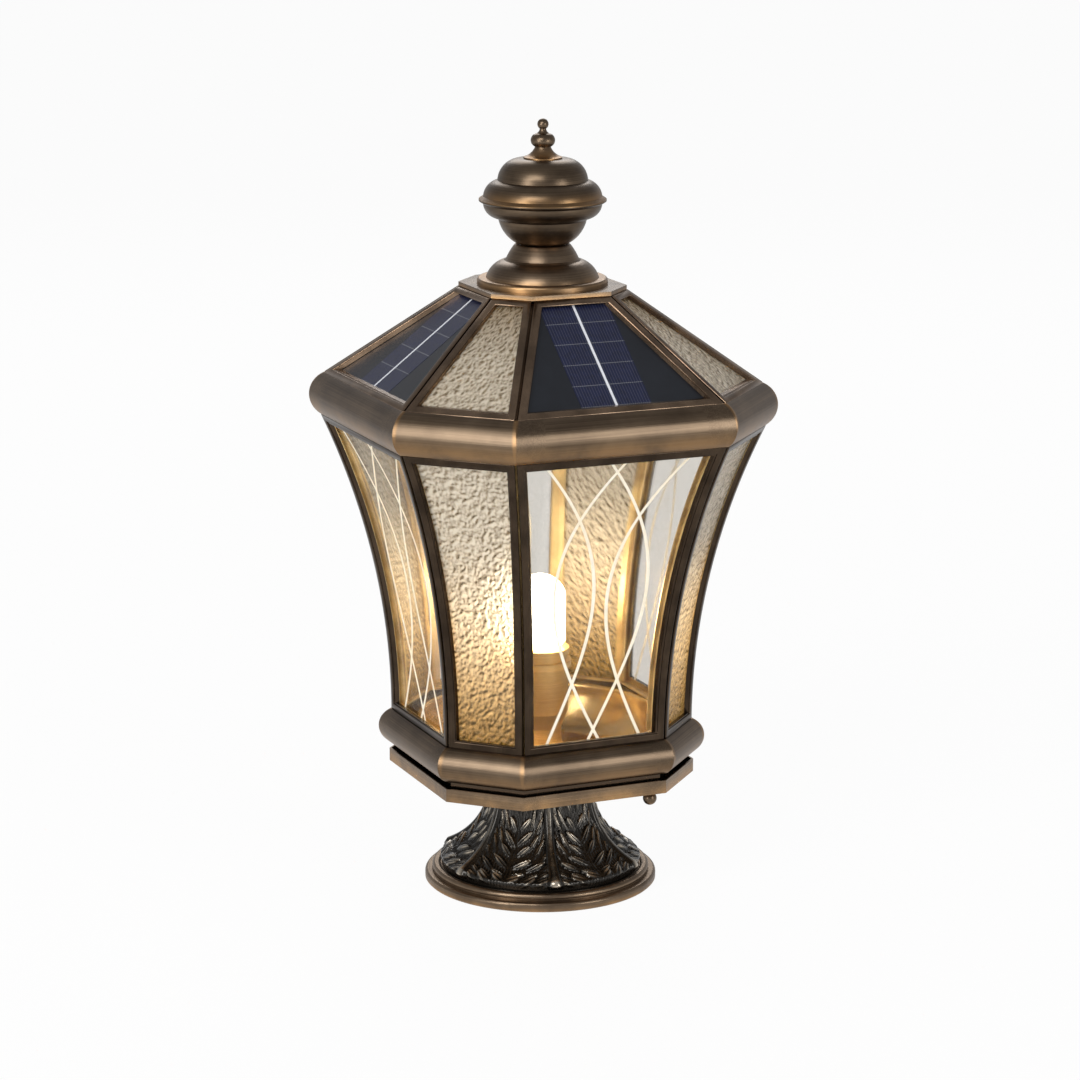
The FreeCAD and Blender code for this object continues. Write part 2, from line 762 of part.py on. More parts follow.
def folded_pan(label, apothem, low, height):
    """An eight-sided pan folded from sheet, open at the top."""
    body = new_body(label)
    outline = new_sketch(body, "XY_Plane", low)
    draw_outline(outline, octagon(apothem))
    add_feature(body, "Pad", outline, height, upward=True)
    hollow = new_sketch(body, "XY_Plane", f"{low} + sheet")
    draw_outline(hollow, parallel_octagon(apothem, "sheet"))
    add_feature(body, "Pocket", hollow, height, upward=True)
    return body


def drill_studs(body, low):
    holes = new_sketch(body, "XY_Plane", low)
    for sign in STUD_SIDES.values():
        draw_circle(holes, "stud_radius + hole_clearance", *stud_place(sign))
    add_feature(body, "Pocket", holes, "sheet", upward=True)


def make_tray():
    body = folded_pan("tray", "tray_apothem", TRAY_BOTTOM, "tray_depth")
    hole = new_sketch(body, "XY_Plane", TRAY_BOTTOM)
    draw_circle(hole, NIPPLE_HOLE)
    add_feature(body, "Pocket", hole, "sheet", upward=True)
    drill_studs(body, TRAY_BOTTOM)
    return finish(body, "tray")


def make_floor_pan():
    """Pan under the glass, with a collared opening that lifts clear of the lamp holder."""
    body = folded_pan("floor_pan", "pan_apothem", TRAY_FLOOR, "pan_height")
    collar = new_sketch(body, "XY_Plane", PAN_FLOOR)
    draw_circle(collar, "pan_opening + sheet")
    add_feature(body, "Pad", collar, "pan_collar", upward=True)
    opening = new_sketch(body, "XY_Plane", TRAY_FLOOR)
    draw_circle(opening, "pan_opening")
    add_feature(body, "Pocket", opening, "pan_collar + 2 * sheet", upward=True)
    drill_studs(body, TRAY_FLOOR)
    return finish(body, "floor_pan")


def make_studs():
    """Two headed studs through pan and tray, each with a ball nut under the tray."""
    nut_top = f"({TRAY_BOTTOM} - nut_gap)"
    ball_top = f"({nut_top} - nut_collar_height)"
    ball_drop = "sqrt(nut_ball_radius^2 - nut_collar_radius^2)"
    ball_low = f"({ball_top} - {ball_drop} - nut_ball_radius)"
    ball_rise = f"(nut_ball_radius + {ball_drop})"
    stud_low = f"({ball_top} - nut_ball_radius)"
    bore = "(stud_radius + thread_clearance)"
    ball_bulge = cap_bulge("nut_collar_radius", ball_rise)
    studs = []
    for side, sign in STUD_SIDES.items():
        stud = revolve(f"tray_stud_{side}", [
            ("0", stud_low),
            ("stud_radius", stud_low),
            ("stud_radius", PAN_FLOOR),
            ("stud_head_radius", PAN_FLOOR),
            ("stud_head_radius", f"{PAN_FLOOR} + stud_head_height"),
            ("0", f"{PAN_FLOOR} + stud_head_height"),
        ])
        nut = revolve(f"ball_nut_{side}", [
            ("0", ball_low, f"0 - {ball_bulge}"),
            ("nut_collar_radius", ball_top),
            ("nut_collar_radius", nut_top),
            (bore, nut_top),
            (bore, f"{stud_low} - hole_clearance"),
            ("0", f"{stud_low} - hole_clearance"),
        ])
        x, y = stud_place(sign)
        for piece in (stud, nut):
            bind(piece, "Placement.Base.x", x)
            bind(piece, "Placement.Base.y", y)
        studs.append(stud)
        finish(nut, f"ball_nut_{side}")
    pair = doc.addObject("Part::Compound", "tray_studs")
    pair.Links = studs
    finish(pair, "tray_studs")


# Foot


def make_flange():
    """Round flange: a rounded rim, a bead round the leaves and a web that the casting stands on."""
    rim_inner = "(flange_radius - flange_rim_width - bead_width - toe_clearance)"
    rim_bulge = f"0 - flange_rim_round * {QUARTER_BULGE}"
    bead_low = "(flange_rim_height + flange_rim_round / 2)"
    bead_crest = f"({BEAD_OUTER} - bead_width / 2)"
    corners = [
        (rim_inner, "0"),
        ("flange_radius - flange_rim_round / 2", "0"),
        ("flange_radius", "flange_rim_round / 2"),
        ("flange_radius", "flange_rim_height - flange_rim_round", rim_bulge),
        ("flange_radius - flange_rim_round", "flange_rim_height"),
        (BEAD_OUTER, "flange_rim_height"),
        (BEAD_OUTER, bead_low, f"0 - (bead_height - {bead_low}) * {BEAD_BULGE}"),
        (bead_crest, "bead_height", f"0 - (bead_height - {FOOT_SEAT}) * {BEAD_BULGE}"),
        (BEAD_INNER, FOOT_SEAT),
        ("web_bore", FOOT_SEAT),
        ("web_bore", PLATE_TOP),
        (rim_inner, PLATE_TOP),
    ]
    return finish(revolve("foot_flange", corners), "foot_flange")


def make_bottom_plate():
    """Steel disc under the flange, bolted to the pillar and clamped up by the nipple's nut."""
    body = new_body("bottom_plate")
    disc = new_sketch(body, "XY_Plane", "plate_recess")
    draw_circle(disc, f"{TOE_RADIUS} - hole_clearance")
    add_feature(body, "Pad", disc, "plate_thickness", upward=True)
    holes = new_sketch(body, "XY_Plane", "plate_recess")
    draw_circle(holes, NIPPLE_HOLE)
    across = "(bolt_circle / 2 * sqrt(0.5))"
    for x in (across, f"0 - {across}"):
        for y in (across, f"0 - {across}"):
            draw_circle(holes, "bolt_hole / 2", x, y)
    add_feature(body, "Pocket", holes, "plate_thickness", upward=True)
    return finish(body, "bottom_plate")


class FootProfile:
    """Bell line of the casting from its crown to its toe, with the leaf relief laid over it.

    Places along the bell are shares of the way from crown to toe.
    """
    # The flare's arc is a little longer than its chord
    ARC_RATIO = 1.08
    # The relief rises out of the crown and sinks into the toe over these shares
    CROWN_FADE = 0.10
    TOE_FADE = 0.07
    # The vein between two leaves, as a share of the rib on a leaf's middle
    VEIN_SHARE = 0.6
    # How far a row of lobes runs back towards a leaf's edge, in rows
    LOBE_SLANT = 1.1
    # Leaf tips curl out at this place, over this spread, and most at the ribs
    CURL_PLACE = 0.78
    CURL_SPREAD = 0.075
    CURL_MEAN = 0.65

    def __init__(self):
        self.leaves = int(round(value("leaf_count")))
        self.top = value(TRAY_BOTTOM)
        self.seat = value(FOOT_SEAT)
        self.neck = value("foot_neck_radius")
        self.neck_length = value("foot_neck_length")
        self.toe = value(TOE_RADIUS)
        self.toe_height = value("toe_height")
        self.rib_height = value("rib_height")
        self.rib_width = value("rib_width")
        self.lobe_height = value("lobe_height")
        self.lobe_rows = value("lobe_rows")
        self.curl_height = value("curl_height")
        self.sweep = math.radians(value("flare_sweep"))
        rise = self.top - self.neck_length - self.seat - self.toe_height
        spread = self.toe - self.neck
        self.wide = spread / (1 - math.cos(self.sweep))
        self.tall = rise / math.sin(self.sweep)
        flare = math.hypot(rise, spread) * self.ARC_RATIO
        self.lengths = (self.neck_length, flare, self.toe_height)
        # The relief ends above the bead that the toe stands in
        bead = value("bead_height + 2 * toe_clearance") - self.seat
        self.relief_end = 1 - bead / sum(self.lengths)

    def flare(self, angle):
        """Radius and height on the elliptic flare, at an angle of its sweep."""
        radius = self.neck + self.wide * (1 - math.cos(angle))
        return radius, self.top - self.neck_length - self.tall * math.sin(angle)

    def at(self, share):
        """Radius, height and outward normal at a place along the bell."""
        way = share * sum(self.lengths)
        if way <= self.lengths[0]:
            return self.neck, self.top - way, 1.0, 0.0
        way -= self.lengths[0]
        if way <= self.lengths[1]:
            angle = self.sweep * way / self.lengths[1]
            normal = Vector(self.tall * math.cos(angle), self.wide * math.sin(angle), 0).normalize()
            return *self.flare(angle), normal.x, normal.y
        way -= self.lengths[1]
        return self.toe, self.seat + self.toe_height - way, 1.0, 0.0

    def relief(self, share, turn):
        """Height of the leaves over the bell; turn runs from -1 to 1 across one leaf's sector."""
        aside = abs(turn)
        half_width = math.pi / self.leaves * self.at(share)[0]
        fade = min(1.0, share / self.CROWN_FADE, max(0.0, self.relief_end - share) / self.TOE_FADE)
        rib = math.exp(-(aside * half_width / self.rib_width) ** 2)
        vein_width = self.VEIN_SHARE * self.rib_width
        vein = self.VEIN_SHARE * math.exp(-((1 - aside) * half_width / vein_width) ** 2)
        row = self.lobe_rows * share - self.LOBE_SLANT * aside
        lobe = abs(math.sin(math.pi * row)) * math.sin(math.pi * aside)
        tips = self.CURL_MEAN + (1 - self.CURL_MEAN) * math.cos(4 * math.pi * turn)
        curl = math.exp(-((share - self.CURL_PLACE) / self.CURL_SPREAD) ** 2) * tips
        height = (rib + vein) * self.rib_height + lobe * self.lobe_height + curl * self.curl_height
        return fade * height


# Points of the grid that a leaf's face is drawn through, down and across the leaf
LEAF_ROWS = 40
LEAF_COLUMNS = 32


def leaf_faces(profile):
    """One smooth face of relief for each leaf, from a grid over its sector of the bell."""
    half_sector = math.pi / profile.leaves
    grid = []
    for row in range(LEAF_ROWS + 1):
        share = row / LEAF_ROWS
        radius, height, out, up = profile.at(share)
        line = []
        for column in range(LEAF_COLUMNS + 1):
            turn = 2 * column / LEAF_COLUMNS - 1
            lift = profile.relief(share, turn)
            angle = turn * half_sector
            reach = radius + out * lift
            line.append(Vector(reach * math.cos(angle), reach * math.sin(angle), height + up * lift))
        grid.append(line)
    surface = Part.BSplineSurface()
    surface.interpolate(grid)
    leaf = surface.toShape()
    faces = []
    for number in range(profile.leaves):
        copy = leaf.copy()
        copy.rotate(Vector(), UP, value("leaf_turn") + 360 * number / profile.leaves)
        faces.append(copy)
    return faces


# Steps of the straight-sided hollow under the bell
HOLLOW_STEPS = 6


def foot_hollow(profile):
    """The core of the casting: open below, following the bell a wall's thickness inside it."""
    wall = value("foot_wall")
    crown = profile.top - value("foot_crown")
    line = [Vector(0, 0, profile.seat), Vector(profile.toe - wall, 0, profile.seat)]
    for step in range(HOLLOW_STEPS + 1):
        radius, height = profile.flare(profile.sweep * (1 - step / HOLLOW_STEPS))
        inner = min(radius - 1.5 * wall, profile.toe - 1.2 * wall)
        line.append(Vector(inner, 0, height - wall / 2))
    line += [Vector(profile.neck - wall, 0, crown), Vector(0, 0, crown), Vector(0, 0, profile.seat)]
    return Part.Face(Part.makePolygon(line)).revolve(Vector(), UP, 360)


def make_foot():
    """Cast bell of acanthus leaves, hollow from below, with a hole in its crown for the nipple."""
    profile = FootProfile()
    faces = leaf_faces(profile)
    rings = {profile.top: [], profile.seat: []}
    for edge in (edge for face in faces for edge in face.Edges):
        for level, ring in rings.items():
            if max(abs(edge.BoundBox.ZMin - level), abs(edge.BoundBox.ZMax - level)) < 1e-6:
                ring.append(edge)
    caps = [Part.Face(Part.Wire(Part.__sortEdges__(ring))) for ring in rings.values()]
    shell = Part.makeShell(faces + caps)
    shell.sewShape()
    solid = Part.makeSolid(shell)
    if solid.Volume < 0:
        solid.reverse()
    hole = Part.makeCylinder(value(NIPPLE_HOLE), profile.top)
    foot = doc.addObject("Part::Feature", "foot_casting")
    foot.Shape = solid.cut(foot_hollow(profile)).cut(hole)
    foot.Placement = FreeCAD.Placement()
    return finish(foot, "foot_casting")


def make_nipple():
    """Hollow threaded tube that clamps plate, flange, casting and tray, and carries the holder."""
    low = "plate_recess - nipple_nut_height"
    high = f"({CUP_TOP} + nipple_grip)"
    corners = [("nipple_bore", low), ("nipple_radius", low), ("nipple_radius", high), ("nipple_bore", high)]
    finish(revolve("centre_nipple", corners), "centre_nipple")
    bore = "nipple_radius + thread_clearance"
    nuts = [
        make_nut("nipple_nut_lower", "nipple_nut_flats", bore, low, "nipple_nut_height"),
        make_nut("nipple_nut_upper", "nipple_nut_flats", bore, TRAY_FLOOR, "nipple_nut_height"),
    ]
    pair = doc.addObject("Part::Compound", "nipple_nuts")
    pair.Links = nuts
    finish(pair, "nipple_nuts")


# Lamp holder, bulb and electrics


def make_holder():
    """Spun cup on the tray, the holder's body, its ring and the bulb screwed into it."""
    cup = revolve("holder_cup", [
        ("cup_radius - cup_wall", TRAY_FLOOR),
        ("cup_radius", TRAY_FLOOR),
        ("cup_radius", f"{TRAY_FLOOR} + 2 * cup_wall", "cup_wall * 2"),
        ("cup_top_radius", CUP_TOP),
        (NIPPLE_HOLE, CUP_TOP),
        (NIPPLE_HOLE, f"{CUP_TOP} - cup_wall"),
        ("cup_top_radius - cup_wall", f"{CUP_TOP} - cup_wall", "0 - cup_wall * 2"),
        ("cup_radius - cup_wall", f"{TRAY_FLOOR} + 2 * cup_wall"),
    ])
    finish(cup, "holder_cup")
    thread_top = f"({CUP_TOP} + nipple_grip + hole_clearance)"
    holder = revolve("lamp_holder", [
        ("nipple_radius + thread_clearance", CUP_TOP),
        ("cup_top_radius", CUP_TOP),
        ("holder_radius", f"{CUP_TOP} + holder_base"),
        ("holder_radius", HOLDER_TOP),
        ("holder_bore", HOLDER_TOP),
        ("holder_bore", CONTACT),
        ("nipple_bore", CONTACT),
        ("nipple_bore", thread_top),
        ("nipple_radius + thread_clearance", thread_top),
    ])
    finish(holder, "lamp_holder")
    ring = revolve("holder_ring", [
        ("holder_bore", HOLDER_TOP),
        ("ring_radius", HOLDER_TOP),
        ("ring_radius", f"{HOLDER_TOP} + ring_height / 3"),
        ("holder_radius - cup_wall", f"{HOLDER_TOP} + ring_height / 3"),
        ("holder_radius - cup_wall", f"{HOLDER_TOP} + ring_height * 2 / 3"),
        ("ring_radius - cup_wall", f"{HOLDER_TOP} + ring_height * 2 / 3"),
        ("ring_radius - cup_wall", BULB_SEAT),
        ("holder_bore", BULB_SEAT),
    ])
    finish(ring, "holder_ring")
    top = f"({BULB_SEAT} + bulb_height)"
    bulb = revolve("bulb", [
        ("0", CONTACT),
        ("cap_radius", CONTACT),
        ("cap_radius", BULB_SEAT),
        ("bulb_radius", f"{BULB_SEAT} + bulb_shoulder"),
        ("bulb_radius", f"{top} - bulb_dome", f"0 - {cap_bulge('bulb_radius', 'bulb_dome')}"),
        ("0", top),
    ])
    finish(bulb, "bulb")


def make_electrics():
    """Two cells in one sleeve and a potted charge controller, standing on the bottom plate."""
    body = new_body("battery_pack")
    sketch = new_sketch(body, "XY_Plane", PLATE_TOP)
    inner = "(nipple_radius + pack_gap)"
    outer = f"({inner} + 2 * cell_radius)"
    draw_outline(sketch, [
        ("0 - cell_radius", inner),
        ("cell_radius", inner, f"0 - cell_radius * {SLEEVE_ROUND}"),
        ("cell_radius", outer),
        ("0 - cell_radius", outer, f"0 - cell_radius * {SLEEVE_ROUND}"),
    ])
    add_feature(body, "Pad", sketch, "cell_length", upward=True)
    finish(body, "battery_pack")
    case = new_body("charge_controller")
    plan = new_sketch(case, "XY_Plane", PLATE_TOP)
    near = "0 - nipple_radius - pack_gap"
    far = f"{near} - controller_depth"
    draw_outline(plan, [
        ("0 - controller_width / 2", far), ("controller_width / 2", far),
        ("controller_width / 2", near), ("0 - controller_width / 2", near),
    ])
    add_feature(case, "Pad", plan, "controller_height", upward=True)
    finish(case, "charge_controller")


def check_and_write():
    """Stop at the first failed object, then write each piece to a STEP file of its own."""
    doc.recompute()
    for item in doc.Objects:
        if any(word in item.State for word in ("Invalid", "Error")):
            raise RuntimeError(f"{item.Label} failed: {item.State}")
    os.makedirs("parts", exist_ok=True)
    for item in finished:
        shape = item.Shape
        if shape.isNull() or not shape.isValid() or shape.Volume <= 0:
            raise RuntimeError(f"{item.Label} has no valid solid")
        shape.exportStep(f"parts/{item.Label}.step")


make_flange()
make_bottom_plate()
make_foot()
make_nipple()
make_tray()
make_floor_pan()
make_studs()
make_moulding("base_moulding", "pan_apothem", base_moulding_section)
make_faces()
make_moulding("cornice", "body_top_apothem", cornice_section)
make_crown()
make_neck_cap()
make_bowl()
make_dome()
make_knob()
make_rod()
make_holder()
make_electrics()
check_and_write()
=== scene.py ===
"""Looks of a solar pillar lamp: an eight-sided glass lantern on a cast leaf foot.

Metres, +Z up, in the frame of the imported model. Faces are modelled looking along +X and
turned to their own side of the lamp.
"""

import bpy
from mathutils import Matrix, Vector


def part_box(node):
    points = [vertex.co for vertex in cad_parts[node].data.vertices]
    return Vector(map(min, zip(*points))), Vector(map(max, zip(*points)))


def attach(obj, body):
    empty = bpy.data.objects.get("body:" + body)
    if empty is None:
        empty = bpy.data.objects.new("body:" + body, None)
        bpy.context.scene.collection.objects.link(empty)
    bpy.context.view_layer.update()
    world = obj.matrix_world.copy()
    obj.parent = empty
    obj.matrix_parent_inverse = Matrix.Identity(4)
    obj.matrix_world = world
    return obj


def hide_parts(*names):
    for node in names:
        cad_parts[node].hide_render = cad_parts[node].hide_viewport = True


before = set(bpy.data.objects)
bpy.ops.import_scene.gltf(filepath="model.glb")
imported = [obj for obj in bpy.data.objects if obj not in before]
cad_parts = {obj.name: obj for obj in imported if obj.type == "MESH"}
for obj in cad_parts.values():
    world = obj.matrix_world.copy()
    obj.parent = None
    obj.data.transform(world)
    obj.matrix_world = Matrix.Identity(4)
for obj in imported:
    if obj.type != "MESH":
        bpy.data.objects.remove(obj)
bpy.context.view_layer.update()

import math
import random

import bpy
from bpy.props import FloatProperty, FloatVectorProperty, PointerProperty
from mathutils import Matrix, Vector

bl_info = {
    "name": "Pillar Lamp",
    "version": (1, 0, 0),
    "blender": (4, 5, 0),
    "location": "View3D > Sidebar > Pillar Lamp",
    "description": "Dresses the pillar lamp with bronze, glass, leaves and a studio",
    "category": "Object",
}

MM = 0.001
BODY = "lamp"
NUTS = ("ball_nut_right", "ball_nut_left")
WIDE_FACES = {"front": -90, "right": 0, "back": 90, "left": 180}
NARROW_FACES = {"front_right": -45, "back_right": 45, "back_left": 135, "front_left": -135}
WIDE_HALF = math.radians(29.8)
NARROW_HALF = math.radians(45) - WIDE_HALF
NARROW_RATIO = math.cos(NARROW_HALF) / math.cos(WIDE_HALF)
FACE_KINDS = ((WIDE_FACES, WIDE_HALF, 1.0), (NARROW_FACES, NARROW_HALF, NARROW_RATIO))
# Points nearer than this are one point
MERGE_REACH = 0.02 * MM
# Room that keeps one surface from lying in another
SLIVER = 0.05 * MM
EDGE_ROOM = 0.1 * MM


# Sizes and colours that a user would change


def length(name, description, millimetres):
    return FloatProperty(name=name, description=description, default=millimetres * MM, unit="LENGTH")


def bearing(name, description, degrees):
    return FloatProperty(
        name=name, description=description, default=math.radians(degrees), subtype="ANGLE")


def colour(name, description, red, green, blue):
    return FloatVectorProperty(
        name=name, description=description, default=(red, green, blue), subtype="COLOR", min=0, max=1)


class LampSizes(bpy.types.PropertyGroup):
    """Sizes of the lantern's trim and glass."""
    frame_depth: length("Frame depth", "Depth of a body frame's angle section", 8.0)
    frame_gap: length("Frame gap", "Dark groove between two neighbouring frames", 2.0)
    bead_width: length("Bead width", "Width of the rounded bead on a frame's lip", 5.2)
    bead_rise: length("Bead rise", "Height of the bead over the lip", 0.9)
    bead_depth: length("Bead depth", "Thickness of the bead, sunk into the lip", 1.8)
    bead_round: length("Bead round", "Radius of the bead's edges", 0.8)
    strip_width: length("Strip width", "Width of the brass strip inside a corner, on each face", 5.0)
    strip_depth: length("Strip depth", "Thickness of the brass strip inside a corner", 1.0)
    pan_sheet: length("Pan sheet", "Thickness of the floor pan", 1.2)
    dish_foot: length("Dish foot", "Radius where the floor dish leaves the pan's floor", 58.0)
    dish_roll: length("Dish roll", "Radius of the floor dish's rolled rim", 1.9)
    dish_wall: length("Dish wall", "Thickness of the floor dish", 0.8)
    dish_gap: length("Dish gap", "Room round the floor dish", 0.6)
    body_lip: length("Body lip", "Depth of a body pane behind the frame's front", 3.3)
    roof_lip: length("Roof lip", "Depth of a roof pane behind the frame's front", 2.7)
    pane_inset: length("Pane inset", "From the corner's plane to a pane's edge", 2.8)
    pane_end: length("Pane end", "From a face's end to a pane's edge", 1.8)
    window_inset: length("Window inset", "From the corner's plane to the clear glass", 6.5)
    window_rail: length("Window rail", "Height of a body frame's rail", 6.0)
    roof_rail: length("Roof rail", "Height of a roof frame's rail", 3.2)
    body_pane: length("Body pane", "Thickness of a body pane", 3.0)
    roof_pane: length("Roof pane", "Thickness of a roof pane", 2.6)
    crown_overhang: length("Crown overhang", "Crown plate's reach past the roof's top", 0.8)
    hammer_grid: length("Hammer grid", "Mesh size of the hammered glass", 0.95)
    hammer_size: length("Hammer size", "Size of the marks in the hammered glass", 3.8)
    hammer_depth: length("Hammer depth", "Depth of the marks in the hammered glass", 1.1)
    etch_width: length("Etch width", "Width of an etched line", 2.4)
    etch_rise: length("Etch rise", "Height of an etched line's lit burr over the glass", 0.15)
    cell_width: length("Cell width", "Width of the strip of solar cells", 53.0)
    finger_gap: length("Finger gap", "From one fine line on a solar cell to the next", 2.1)
    busbar_width: length("Busbar width", "Width of the bright bar on the cells", 1.9)
    foot_neck: length("Foot neck", "Radius of the foot's neck", 37.5)
    foot_neck_length: length("Foot neck length", "Straight part of the foot under the tray", 14.0)
    foot_toe: length("Foot toe", "Radius of the foot at the flange's bead", 73.4)
    foot_toe_height: length("Foot toe height", "Upright edge of the foot at the flange", 7.0)
    foot_bead: length("Foot bead", "Height of the flange's bead over the foot's seat", 3.2)
    foot_wall: length("Foot wall", "Wall of the hollow casting", 4.0)
    foot_hole: length("Foot hole", "Radius of the hole in the casting's crown", 5.4)


class LampColours(bpy.types.PropertyGroup):
    """Finishes of the metal, the glass and the light."""
    bronze_dark: colour("Dark bronze", "Shaded patina of the metalwork", 0.082, 0.058, 0.040)
    bronze_body: colour("Bronze", "Main tone of the brushed metal", 0.245, 0.177, 0.116)
    bronze_rub: colour("Rubbed bronze", "Copper along the mitres and lower bands", 0.360, 0.208, 0.092)
    frame_dark: colour("Frame shade", "Dark tone of the glazing frames", 0.036, 0.025, 0.017)
    frame_tone: colour("Frame bronze", "Main tone of the glazing frames", 0.082, 0.057, 0.038)
    brass: colour("Brass", "Brighter brass inside the lantern", 0.950, 0.700, 0.310)
    brass_dark: colour("Dark brass", "Tarnish of the brass inside the lantern", 0.520, 0.350, 0.150)
    cast_dark: colour("Cast black", "Blackened hollows of the leaves", 0.028, 0.025, 0.021)
    # Rubbed ridges, and painted highlights on the tips of the leaves' lobes
    cast_rub_and_glint: colour("Cast rubbed", "Rubbed ridges of the leaves", 0.76, 0.66, 0.52)
    clear_glass: colour("Clear glass", "Tint of the etched panes", 0.50, 0.45, 0.37)
    hammered_glass: colour("Hammered glass", "Cream of the hammered panes", 1.0, 0.92, 0.76)
    # Painted shade on the hammered marks that lean away from a fixed light
    hammered_painted_shade: colour("Hammered shade", "Smoky hollows of the hammered panes", 0.28, 0.20, 0.11)
    # Painted gold of the bulb's light on the hammered panes
    hammered_painted_gold: colour("Hammered gold", "Gold at the foot of the hammered panes", 0.38, 0.20, 0.012)
    etch_tone: colour("Etched lines", "Frosted cream of the etched lines", 0.95, 0.90, 0.76)
    laminate: colour("Laminate", "Dark sheet of the solar panels", 0.012, 0.014, 0.019)
    cell_blue: colour("Cell blue", "Blue of the solar cells", 0.008, 0.011, 0.040)
    busbar: colour("Busbar", "Bright bar on the solar cells", 0.80, 0.82, 0.86)
    glow: colour("Glow", "Light of the bulb", 1.0, 0.66, 0.26)


class LampStudio(bpy.types.PropertyGroup):
    """Camera of the studio."""
    azimuth: bearing("Azimuth", "Camera's turn from the front face", -23.512)
    elevation: bearing("Elevation", "Camera's height over the horizon", 13.3834)
    roll: bearing("Roll", "Camera's turn about its own line of sight", 0.2004)
    distance: length("Distance", "From the camera to the lamp's axis", 2606.4)
    aim_height: length("Aim height", "Height of the picture's centre on the axis", 256.0)
    aim_aside: length("Aim aside", "Picture's centre to the right of the axis", -1.06)
    lens: FloatProperty(name="Lens", description="Focal length", default=119.4, unit="CAMERA")


# Shading


class Wire:
    """A node's output in a shader tree; sums on it add Math nodes."""

    def __init__(self, tree, socket=None):
        self.tree = tree
        self.socket = socket

    def node(self, kind, settings=None, inputs=None, output=0):
        """Add a node: its settings first, then the values or links of its sockets."""
        node = self.tree.nodes.new(f"ShaderNode{kind}")
        for name, setting in (settings or {}).items():
            setattr(node, name, setting)
        for name, item in (inputs or {}).items():
            if isinstance(item, Wire):
                self.tree.links.new(item.socket, node.inputs[name])
            else:
                node.inputs[name].default_value = item
        return Wire(self.tree, node.outputs[output] if node.outputs else None)

    def maths(self, operation, first, second=0.0):
        return self.node("Math", {"operation": operation}, {0: first, 1: second})

    def __add__(self, other):
        return self.maths("ADD", self, other)

    __radd__ = __add__

    def __sub__(self, other):
        return self.maths("SUBTRACT", self, other)

    def __rsub__(self, other):
        return self.maths("SUBTRACT", other, self)

    def __mul__(self, other):
        return self.maths("MULTIPLY", self, other)

    __rmul__ = __mul__

    def __truediv__(self, other):
        return self.maths("DIVIDE", self, other)

    def __pow__(self, power):
        return self.maths("POWER", self, power)

    def __abs__(self):
        return self.maths("ABSOLUTE", self)

    def most(self, other):
        return self.maths("MAXIMUM", self, other)

    def least(self, other):
        return self.maths("MINIMUM", self, other)

    def wave(self, spacing):
        """Share of the way through each spacing, from 0 to 1."""
        return self.maths("FRACT", self / spacing)

    def ease(self, start, stop, low=0.0, high=1.0):
        """A smooth step from low to high while the value goes from start to stop."""
        return self.node(
            "MapRange", {"interpolation_type": "SMOOTHSTEP"},
            {"Value": self, "From Min": start, "From Max": stop, "To Min": low, "To Max": high})

    def blend(self, first, second):
        """A colour between two others, at this factor."""
        return self.node("Mix", {"data_type": "RGBA"}, {0: self, 6: first, 7: second}, output=2)


def opaque(tone, gain=1.0):
    """A colour with full alpha, made paler or darker by a gain."""
    return (*(Vector(tone) * gain), 1.0)


# Brush marks are fine across a piece and long along it
BRUSH_ACROSS = 1500
BRUSH_ALONG = 9


class Finish:
    """A new material: its coordinates, its patterns and the shader at its end."""

    def __init__(self, name):
        self.material = bpy.data.materials.new(name)
        self.material.use_nodes = True
        self.tree = self.material.node_tree
        self.tree.nodes.clear()
        self.start = Wire(self.tree)
        self.place = self.start.node("TexCoord", output=3)
        self.x, self.y, self.z = (
            self.start.node("SeparateXYZ", inputs={0: self.place}, output=axis) for axis in range(3))

    def round_reach(self):
        """Distance from the lamp's axis."""
        return (self.x * self.x + self.y * self.y) ** 0.5

    def flat_reach(self, ratio=1.0):
        """Distance from the axis to a wide face of an eight-sided plan, carried round the narrow faces.

        The ratio is how much farther out the narrow faces lie.
        """
        across = abs(self.x)
        along = abs(self.y)
        return across.most(along).most((across + along) * (math.sqrt(0.5) / ratio))

    def vector(self, x, y, z):
        return self.start.node("CombineXYZ", inputs={0: x, 1: y, 2: z})

    def noise(self, vector, scale, detail=2.0, roughness=0.5):
        inputs = {"Vector": vector, "Scale": scale, "Detail": detail, "Roughness": roughness}
        return self.start.node("TexNoise", inputs=inputs)

    def depth_behind(self, face):
        """Depth behind the outer line of a wide face, carried round the narrow faces."""
        run = self.z - face.low
        reach = self.flat_reach(NARROW_RATIO)
        if face.bend:
            return face.bottom + face.bend - (face.bend ** 2 - run * run) ** 0.5 - reach
        return run * face.slope + face.bottom - reach

    def share_up(self, node):
        """Share of the way from a CAD node's lowest point to its highest."""
        low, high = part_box(node)
        return (self.z - low.z) / (high.z - low.z)

    def brushing(self, out):
        """Fine streaks along a piece, where out is the distance across them."""
        fine = self.z * BRUSH_ACROSS
        along = self.vector(out * BRUSH_ACROSS + self.x * BRUSH_ALONG, self.y * BRUSH_ALONG, fine)
        return self.noise(along, 1.0, 3.0, 0.6)

    def bump(self, height, distance, strength=1.0):
        return self.start.node(
            "Bump", inputs={"Height": height, "Distance": distance, "Strength": strength})

    def surface(self, inputs):
        """End the tree in a Principled shader with these sockets."""
        return self.end(self.start.node("BsdfPrincipled", inputs=inputs))

    def brushed(self, tone, streak, cloud, rough, metallic=1.0):
        """End the tree in brushed metal whose streaks and clouds show in its gloss."""
        return self.surface({
            "Base Color": tone,
            "Metallic": metallic,
            "Roughness": rough + streak * 0.10 + cloud * 0.06,
            "Normal": self.bump(streak, 0.00004, 0.4),
        })

    def end(self, shader):
        self.start.node("OutputMaterial", inputs={"Surface": shader})
        return self.material


